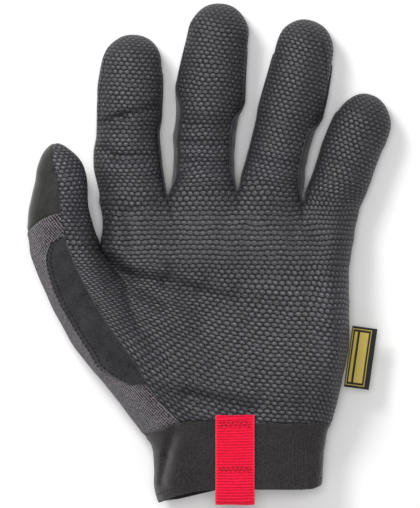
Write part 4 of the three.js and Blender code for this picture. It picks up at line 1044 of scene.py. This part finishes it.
def unit(rows):
    """Each row as a direction one unit long."""
    return rows / (np.linalg.norm(rows, axis=1, keepdims=True) + 1e-9)


def thread(name, rows, pitch, length, radius, sink=0.35):
    """One mesh of beads at an even pitch. Each row is a path and its normals, and a
    share of each bead is sunk into the cloth."""
    local, faces = bead(length / 2, radius)
    beads = []
    for path, up in rows:
        run = np.concatenate([[0], np.cumsum(np.linalg.norm(np.diff(path, axis=0), axis=1))])
        at = np.arange(pitch / 2, run[-1], pitch)
        ahead = unit(along(path, run, at + 0.3) - along(path, run, at - 0.3))
        lift = along(up, run, at)
        lift = unit(lift - ahead * (lift * ahead).sum(1, keepdims=True))
        place = along(path, run, at) + lift * radius * (1 - 2 * sink)
        beads.append(place[:, None] + local @ np.stack([ahead, np.cross(lift, ahead), lift], 1))
    beads = np.concatenate(beads)
    polys = [[k * len(local) + i for i in f] for k in range(len(beads)) for f in faces]
    mesh = mesh_of(name, beads.reshape(-1, 3), polys)
    shell = bmesh.new()
    shell.from_mesh(mesh)
    bmesh.ops.recalc_face_normals(shell, faces=shell.faces)
    shell.to_mesh(mesh)
    shell.free()
    mesh.shade_smooth()
    print(name, len(beads), "stitches")
    return new_piece(name, mesh)


def found(hits):
    """Places in mm and normals of what was met."""
    hits = [h for h in hits if h[0] is not None]
    return np.array([list(h[0]) for h in hits]) * 1000 - HEEL, np.array([list(h[1]) for h in hits])


def on_cloth(piece, points):
    """The nearest places on a piece's outer side, and its normals there."""
    tree = skin_tree(piece)
    return found(tree.find_nearest(Vector((p + HEEL) / 1000)) for p in points)


def fall_on(piece, places):
    """Places in mm dropped from above on a piece, and its normals there."""
    tree = skin_tree(piece)
    return found(fall(tree, x, y) for x, y in places)


def patch_row(share):
    """A line on the patch at a share of its width from its outer edge."""
    v = np.array([[share]])
    rows = [thumb(np.array([[r]]), v, "patch")[0, 0] for r in np.linspace(0.92, 0.0, 10)]
    rows += [patch_corner(np.array([[d]]), v)[0, 0] for d in PATCH_DOWN[1:-1]]
    return np.array(rows)


patch_rows = [on_cloth(thumb_patch, patch_row(share)) for share in (0.13, 0.27)]
patch_stitches = thread("patch_stitches", patch_rows, pitch=2.3, length=1.6, radius=0.36)

# %% Seam lines that run up the fingers
FINGER_SEAMS = table("""
row x     y
0   -68.0 176.4
0   -70.5 160.0
0   -71.0 146.0
1   -24.3 194.9
1   -27.7 191.0
1   -30.0 176.0
1   -31.6 169.1
1   -32.6 158.9
2   37.4  186.1
2   39.5  174.0
2   39.9  161.8
2   38.0  152.0
2   35.5  144.8""")


def seam_places(row):
    """Forty places along one row of the table."""
    x, y = (FINGER_SEAMS[key][FINGER_SEAMS["row"] == row] for key in "xy")
    at = np.linspace(0, len(x) - 1, 40)
    return np.stack([np.interp(at, range(len(x)), x), np.interp(at, range(len(x)), y)], -1)


seam_rows = [fall_on(palm_leather, seam_places(row)) for row in range(3)]
finger_stitches = thread("finger_stitches", seam_rows, pitch=1.5, length=1.35, radius=0.2)

# %% Threads of the hem and the tab
HEM_SHARE, TAB_BANDS, ZIGZAGS, ZIGZAG_REACH = 0.875, (4.2, 26.0), 15, 1.3
hem_columns = np.arange(2, len(CUFF_TOP) - 2)[None]
hem_row = cuff_sheet(np.full(hem_columns.shape, HEM_SHARE), hem_columns, CUFF_TOP, "front")[0]
hem_stitches = thread("hem_stitches", [on_cloth(wrist_cuff, hem_row)], pitch=2.6, length=1.8, radius=0.2)


def tab_band(centre):
    """A zigzag across the webbing at a distance along it; its normals point up."""
    turns = np.arange(ZIGZAGS)
    fine = np.linspace(0, ZIGZAGS - 1, 120)
    x = TAB_X + (np.interp(fine, turns, np.linspace(0.1, 0.9, ZIGZAGS)) - 0.5) * TAB_WIDTH
    run = np.interp(fine, turns, centre + ZIGZAG_REACH * np.where(turns % 2, 1, -1))
    y = np.interp(run, np.linspace(0, TAB_RUN, TAB_STOPS), middle_path[:, 0])
    points = fall_on(pull_tab, np.stack([x, y], -1))[0]
    return points, np.tile([0.0, 0.0, 1.0], (len(points), 1))


tab_stitches = thread("tab_stitches", [tab_band(c) for c in TAB_BANDS],
                      pitch=1.6, length=1.25, radius=0.27, sink=0.2)

# %% [markdown]
# A finish is a small program of nodes. Writing it as Python sums keeps it short:
# a wrapped socket adds a Math node for each sign, and every other node comes
# from one method.

# %% Sockets that can be added and multiplied
def operator(operation, swapped=False):
    """A method that adds one Math node; the reflected forms swap its two values."""
    def method(self, other):
        return self.finish.math(operation, *((other, self) if swapped else (self, other)))
    return method


class Signal:
    """A socket of a finish; arithmetic on it adds Math nodes."""

    __add__ = __radd__ = operator("ADD")
    __mul__ = __rmul__ = operator("MULTIPLY")
    __sub__, __rsub__ = operator("SUBTRACT"), operator("SUBTRACT", True)
    __truediv__, __rtruediv__ = operator("DIVIDE"), operator("DIVIDE", True)

    def __init__(self, finish, socket):
        self.finish, self.socket = finish, socket

    def math(self, operation, *others):
        return self.finish.math(operation, self, *others)

    def held(self):
        """The signal held between 0 and 1."""
        return self.math("MINIMUM", 1.0).math("MAXIMUM", 0.0)

    def wave(self, pitch, shift=0.0):
        """A sine between 0 and 1 of the signal over a pitch, shifted by an angle."""
        return (self * (2 * np.pi / pitch) + shift).math("SINE") * 0.5 + 0.5


class Finish:
    """A material whose nodes come from one method."""

    def __init__(self, name, **constants):
        self.material = bpy.data.materials.new(name)
        self.material.use_nodes = True
        self.tree = self.material.node_tree
        self.shader = self.tree.nodes["Principled BSDF"]
        for socket, value in constants.items():
            self.shader.inputs[socket.replace("_", " ")].default_value = value

    def node(self, kind, settings, inputs, output=0):
        """Adds a node: its settings first, then its sockets' values or links."""
        new = self.tree.nodes.new(kind)
        for key, value in settings.items():
            setattr(new, key, value)
        for key, value in inputs.items():
            self.feed(new.inputs[key], value)
        return Signal(self, new.outputs[output])

    def feed(self, socket, value):
        if isinstance(value, Signal):
            self.tree.links.new(value.socket, socket)
        else:
            socket.default_value = value

    def math(self, operation, *values):
        return self.node("ShaderNodeMath", {"operation": operation}, dict(enumerate(values)))

    def vector_math(self, operation, inputs):
        return self.node("ShaderNodeVectorMath", {"operation": operation}, inputs)

    def cloth(self):
        """The piece's own places in mm, as two signals."""
        return self.parts(self.node("ShaderNodeUVMap", {"uv_map": "cloth"}, {}))[:2]

    def place(self):
        """Object coordinates in mm, as a vector."""
        return self.shade(self.node("ShaderNodeTexCoord", {}, {}, 3), 1000.0)

    def parts(self, vector):
        split = self.node("ShaderNodeSeparateXYZ", {}, {0: vector})
        return [Signal(self, out) for out in split.socket.node.outputs]

    def noise(self, at, scale, detail=2.0):
        """Soft noise from 0 to 1 at a vector; the scale is in turns per mm."""
        return self.node("ShaderNodeTexNoise", {}, {"Vector": at, "Scale": scale, "Detail": detail})

    def rise(self, value, low, high, to_low=0.0, to_high=1.0):
        """A smooth rise between two values."""
        return self.node("ShaderNodeMapRange", {"interpolation_type": "SMOOTHSTEP"},
                         {0: value, 1: low, 2: high, 3: to_low, 4: to_high})

    def blend(self, share, a, b):
        """One colour mixed into another."""
        return self.node("ShaderNodeMix", {"data_type": "RGBA"}, {0: share, 6: solid(a), 7: solid(b)}, 2)

    def shade(self, vector, share):
        """A colour or a place times a number."""
        return self.vector_math("SCALE", {0: vector, "Scale": share})

    def finish(self, colour, rough, height, depth_mm):
        """Feeds the shader: a colour, a roughness and a relief of some depth."""
        relief = {"Strength": 1.0, "Distance": depth_mm / 1000, "Height": height}
        bump = self.node("ShaderNodeBump", {}, relief)
        for socket, value in (("Base Color", colour), ("Roughness", rough), ("Normal", bump)):
            self.feed(self.shader.inputs[socket], value)
        return self.material


def solid(colour):
    """Adds full alpha to three numbers, and leaves a signal alone."""
    return colour if isinstance(colour, Signal) else (*colour, 1.0)

# %% [markdown]
# The palm's leather is embossed with small glossy ovals in staggered rows. Real
# relief would need millions of faces, so the ovals are a bump: a cell for each
# oval, and in it the distance to its middle.

# %% Textured leather
OVAL_PITCH, OVAL_ROW, OVAL_WIDE, OVAL_HIGH = 3.0, 2.06, 3.3, 2.3
OVAL_EDGE, OVAL_TOP, OVAL_STRETCH, OVAL_RELIEF = 1.12, 0.66, 0.2, 0.56
LONG_UP, LONG_ACROSS, DARK_UP = (74, 82, 98, 106), (-66, -56, 40, 50), (62, 80, 98, 125)
THUMB_FROM_TO, TIPS_FROM_TO = (-70, -78), (125, 150)
UPPER_DARKER, THUMB_LIGHTER, TIPS_DARKER = 0.3, 0.42, 0.2
# The first colour is painted shade in the grooves between the ovals, and the last is a painted highlight on
# each oval.
GROOVE_SHADE, OVAL, PAINTED_HIGHLIGHT = (0.0015, 0.0015, 0.003), (0.029, 0.0292, 0.036), (0.145, 0.15, 0.168)


def band(f, value, start, full, fading, gone):
    """1 between full and fading in mm, and 0 outside start and gone."""
    return f.rise(value, start, full) * f.rise(value, gone, fading)


def textured_leather():
    """Staggered cells; in each, the distance to the middle makes a dome, with
    painted shade in the grooves and a painted highlight near its top.
    """
    f = Finish("textured_leather", Specular_IOR_Level=0.5)
    u, v = f.cloth()
    place = f.place()
    tx, ty = f.parts(f.vector_math("SUBTRACT", {0: place, 1: tuple(HEEL)}))[:2]
    wobble = f.noise(place, 0.09, 1.0) - 0.5
    row_at = (v + wobble * 2.0) / OVAL_ROW
    row = row_at.math("FLOOR")
    column_at = (u + wobble * 1.2) / OVAL_PITCH + row * 0.5
    cell = f.node("ShaderNodeCombineXYZ", {}, {0: column_at.math("FLOOR"), 1: row})
    own = f.node("ShaderNodeTexWhiteNoise", {"noise_dimensions": "2D"}, {"Vector": cell})
    stretched = band(f, ty, *LONG_UP) * band(f, tx, *LONG_ACROSS)
    x = (column_at.math("FRACT") - 0.5) * (OVAL_PITCH / OVAL_WIDE * 2) * (1 - stretched * OVAL_STRETCH)
    y = (row_at.math("FRACT") - 0.5) * (OVAL_ROW / OVAL_HIGH * 2)
    rough_edge = (f.noise(place, 1.1, 2.0) - 0.5) * 0.5
    away = (x * x + y * y).math("SQRT") * (0.9 + own * 0.14) + rough_edge
    dome = f.rise(away, OVAL_EDGE, OVAL_TOP)
    # A painted highlight: a small light spot towards the top of each oval.
    painted_gleam = f.rise((x * x + (y - 0.3) * (y - 0.3)).math("SQRT"), 0.6, 0.1)
    slow = f.noise(place, 0.03, 2.0)
    speck = f.rise(f.noise(place, 1.9, 3.0), 0.34, 0.68)
    streak = f.noise(f.vector_math("MULTIPLY", {0: place, 1: (0.35, 1.6, 1.6)}), 0.6, 2.0)
    # The grooves between the ovals are painted dark, as shade.
    colour = f.blend(dome, GROOVE_SHADE, OVAL)
    colour = f.blend(painted_gleam * (0.12 + speck * 0.55 + own * 0.2), colour, PAINTED_HIGHLIGHT)
    # Painted shade darkens the upper palm and the fingertips, and painted light lightens the thumb's side, to
    # even out how the lamps fall.
    upper = band(f, ty, *DARK_UP)
    thumb_side, tips = f.rise(tx, *THUMB_FROM_TO), f.rise(ty, *TIPS_FROM_TO)
    light = (1 - upper * UPPER_DARKER) * (1 + thumb_side * THUMB_LIGHTER) * (1 - tips * TIPS_DARKER)
    colour = f.shade(colour, (slow * 0.55 + own * 0.1 + speck * 0.9 + streak * 0.5) * light)
    relief = dome + f.noise(place, 1.3, 3.0) * 0.6
    return f.finish(colour, f.rise(dome, 0.0, 1.0, 0.85, 0.5), relief, OVAL_RELIEF)

# %% [markdown]
# Knits and suedes differ in their threads. A rib is a sine across the cloth, a
# suede is fine noise with a soft sheen, and both vary a little in colour.

# %% Ribbed knit, suede and stretch cloth
def ribbed_cloth(name, dark, light, pitch, turn, depth, contrast=1.0, grain=1.3, base=-0.07):
    """Ribs at an angle to the glove's length: a sine of the distance across them,
    with knots along each rib, fuzz and a slow change over the piece."""
    f = Finish(name, Sheen_Weight=0.25, Sheen_Roughness=0.5, Specular_IOR_Level=0.2)
    place = f.place()
    x, y, z = f.parts(place)
    round_it, c, s = x + z * 0.9, float(cosd(turn)), float(sind(turn))
    jitter = f.noise(place, 0.5, 2.0) - 0.5
    rib = (round_it * c + y * s).wave(pitch, jitter * 1.6)
    knot = (y * c - round_it * s).wave(pitch * 0.8, jitter * 3.0)
    fuzz = f.noise(place, 1.2, 4.0)
    slow = f.noise(place, 0.05, 2.0)
    weave = rib * 0.65 + knot * 0.35
    share = (weave * contrast * 0.6 + (fuzz - 0.5) * grain + slow * 0.5 + base).held()
    return f.finish(f.blend(share, dark, light), f.rise(fuzz, 0.2, 0.8, 0.8, 0.98), weave + fuzz * 0.5, depth)


def suede(name, dark, light):
    """Short nap: noise at two sizes in colour, roughness and relief."""
    f = Finish(name, Sheen_Weight=0.35, Sheen_Roughness=0.45, Specular_IOR_Level=0.15)
    place = f.place()
    nap = f.noise(place, 1.6, 4.0)
    cloud = f.noise(place, 0.14, 3.0)
    share = (nap * 1.5 + cloud * 1.1 - 0.8).held()
    return f.finish(f.blend(share, dark, light), f.rise(cloud, 0.2, 0.8, 0.86, 0.98), nap, 0.12)

# %% [markdown]
# Webbing, ribbon and thread are regular, so plain sines carry their pattern.
# Only the webbing adds noise, which breaks its evenness.

# %% Webbing, woven label and thread
def ribbed_webbing(name):
    """Ribs across the band, darker in their grooves, and finer threads along it; the edges are paler."""
    f = Finish(name, Sheen_Weight=0.05, Specular_IOR_Level=0.2)
    u, v = f.cloth()
    place = f.place()
    jitter = f.noise(place, 0.9, 3.0) - 0.5
    rib = v.wave(RIB, jitter * 3.0)
    twill = u.wave(0.75, v * 2.1 + jitter * 2.0)
    fibre = f.noise(place, 1.7, 4.0)
    edge = f.rise((u - TAB_WIDTH / 2).math("ABSOLUTE"), TAB_WIDTH / 2 - 1.1, TAB_WIDTH / 2 - 0.2)
    # Darker where the ribs dip: partly the fibres' own colour, partly painted shade in the grooves.
    share = (rib * 0.55 + twill * 0.15 + fibre * 1.3 - 0.45).held()
    colour = f.blend(share, (0.44, 0.0, 0.013), (1.0, 0.004, 0.055))
    colour = f.blend(edge * (0.15 + fibre * 0.4), colour, (0.9, 0.11, 0.15))
    return f.finish(colour, f.rise(share, 0.0, 1.0, 0.85, 0.6), rib + twill * 0.35 + fibre * 0.3, 0.2)


FRAME_OUTER, FRAME_INNER = (0.9, 10.2, 1.1, 28.4), (1.35, 9.75, 1.55, 27.95)
NARROW_BAR, WIDE_BAR = (2.1, 3.5, 2.6, 26.9), (4.6, 8.9, 2.6, 26.9)


def woven_ribbon(name):
    """Black ribbon with a plain yellow frame, a narrow bar and a wide bar."""
    f = Finish(name, Sheen_Weight=0.2, Specular_IOR_Level=0.25)
    u, v = f.cloth()
    out = u + TAB_GAP

    def box(u0, u1, v0, v1, soft=0.12):
        """1 inside a box, with soft edges."""
        return (band(f, out, u0 - soft, u0 + soft, u1 - soft, u1 + soft)
                * band(f, v, v0 - soft, v0 + soft, v1 - soft, v1 + soft))
    frame_line = box(*FRAME_OUTER) - box(*FRAME_INNER)
    bars = box(*NARROW_BAR) + box(*WIDE_BAR)
    weave = out.wave(0.42) * v.wave(0.38)
    yellow = f.blend(weave, (0.42, 0.31, 0.055), (0.8, 0.66, 0.2))
    black = f.blend(weave, (0.008, 0.008, 0.007), (0.03, 0.029, 0.026))
    return f.finish(f.blend((frame_line * 0.8 + bars).held(), black, yellow), 0.8, weave, 0.08)


def thread_finish(name, colour):
    """Twisted thread: a fine slanted sine in colour and relief."""
    f = Finish(name, Specular_IOR_Level=0.35)
    x, y, z = f.parts(f.place())
    twist = (x + y + z).wave(2 * np.pi / 9)
    return f.finish(f.blend(twist, tuple(c * 0.6 for c in colour), colour), 0.65, twist, 0.03)

# %% [markdown]
# Each piece rides on the one body and stands for its solid, which is hidden.
# Threads stand for no solid.

# %% Give each piece its finish
strip_cloth = ribbed_cloth("stretch_strip", (0.014, 0.014, 0.018), (0.036, 0.036, 0.044), 0.7, 0, 0.08, 0.6)
dark_thread = thread_finish("dark_thread", (0.004, 0.004, 0.005))
DRESS = [
    (palm_leather, "palm_panel", "textured_leather", textured_leather()),
    (back_cloth, "back_panel", "back_cloth",
     ribbed_cloth("back_cloth", (0.012, 0.0115, 0.013), (0.034, 0.033, 0.036), 0.9, 90, 0.14)),
    (thumb_knit, "thumb_back", "rib_knit",
     ribbed_cloth("rib_knit", (0.004, 0.003, 0.004), (0.21, 0.182, 0.205), 1.3, 38, 0.6, 3.6, 4.2, -0.96)),
    (thumb_cap, "thumb_tip_cap", "tip_suede",
     suede("tip_suede", (0.008, 0.008, 0.0075), (0.046, 0.045, 0.043))),
    (thumb_patch, "thumb_patch", "patch_suede",
     suede("patch_suede", (0.006, 0.006, 0.0075), (0.044, 0.043, 0.048))),
    (wrist_cuff, "cuff", "cuff_knit",
     ribbed_cloth("cuff_knit", (0.009, 0.0078, 0.0085), (0.043, 0.038, 0.041), 0.85, 4, 0.16, 0.8, 2.2)),
    (strips["index_middle"], "index_middle_fourchette", "stretch_strip", strip_cloth),
    (strips["middle_ring"], "middle_ring_fourchette", "stretch_strip", strip_cloth),
    (strips["ring_little"], "ring_little_fourchette", "stretch_strip", strip_cloth),
    (pull_tab, "pull_tab", "webbing", ribbed_webbing("webbing")),
    (side_label, "side_label", "woven_label", woven_ribbon("woven_label")),
    (patch_stitches, "", "patch_suede", dark_thread),
    (finger_stitches, "", "textured_leather", dark_thread),
    (hem_stitches, "", "cuff_knit", thread_finish("cuff_thread", (0.03, 0.028, 0.031))),
    (tab_stitches, "", "webbing", thread_finish("red_thread", (0.4, 0.004, 0.022))),
]
for piece, node, slot, finish in DRESS:
    piece.data.materials.append(finish)
    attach(piece, "root")
    if node:
        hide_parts(node)
print(len(DRESS), "pieces dressed")

# %% [markdown]
# The glove lies on a plain pale floor under soft white light. The camera looks
# straight down from far away through a long lens, so the outline isn't widened.

# %% Camera, floor and light
FRAME_HEIGHT, AWAY, FOCUS_HEIGHT, SENSOR = 0.2469, 2.0, 0.012, 24.0
FLOOR_HALF, FLOOR_DROP, AIM = 3.0, -0.0004, Vector((0, 0, 0.02))
CENTRE = np.array([-17.0, 81.7]) + HEEL[:2]
print("the picture's middle in mm", CENTRE)


def soft_light(name, size, power, at):
    """A square lamp that faces the glove."""
    data = bpy.data.lights.new(name, "AREA")
    data.shape, data.size, data.energy = "SQUARE", size, power
    lamp = new_piece(name, data)
    lamp.location = at
    lamp.rotation_euler = (AIM - Vector(at)).to_track_quat("-Z", "Y").to_euler()


lens = bpy.data.cameras.new("camera")
lens.sensor_fit, lens.sensor_height, lens.clip_end = "VERTICAL", SENSOR, 50
lens.lens = SENSOR * AWAY / FRAME_HEIGHT
camera = new_piece("camera", lens)
camera.location = (*CENTRE / 1000, AWAY + FOCUS_HEIGHT)
bpy.context.scene.camera = camera

floor_mesh = bpy.data.meshes.new("floor")
corners = [(x * FLOOR_HALF, y * FLOOR_HALF, FLOOR_DROP) for x, y in ((-1, -1), (1, -1), (1, 1), (-1, 1))]
floor_mesh.from_pydata(corners, [], [(0, 1, 2, 3)])
floor_mesh.materials.append(Finish("pale_floor", Base_Color=(0.93, 0.93, 0.93, 1), Roughness=0.9).material)
floor = new_piece("floor", floor_mesh)

soft_light("overhead", 0.4, 6.5, (-0.02, 0.03, 1.3))
soft_light("key", 0.3, 5.5, (-0.4, 0.5, 0.7))
bpy.context.scene.view_settings.view_transform = "Standard"
world = bpy.data.worlds.new("studio")
bpy.context.scene.world = world
world.use_nodes = True
sky = world.node_tree.nodes["Background"].inputs
sky[0].default_value, sky[1].default_value = (1, 1, 1, 1), 0.45
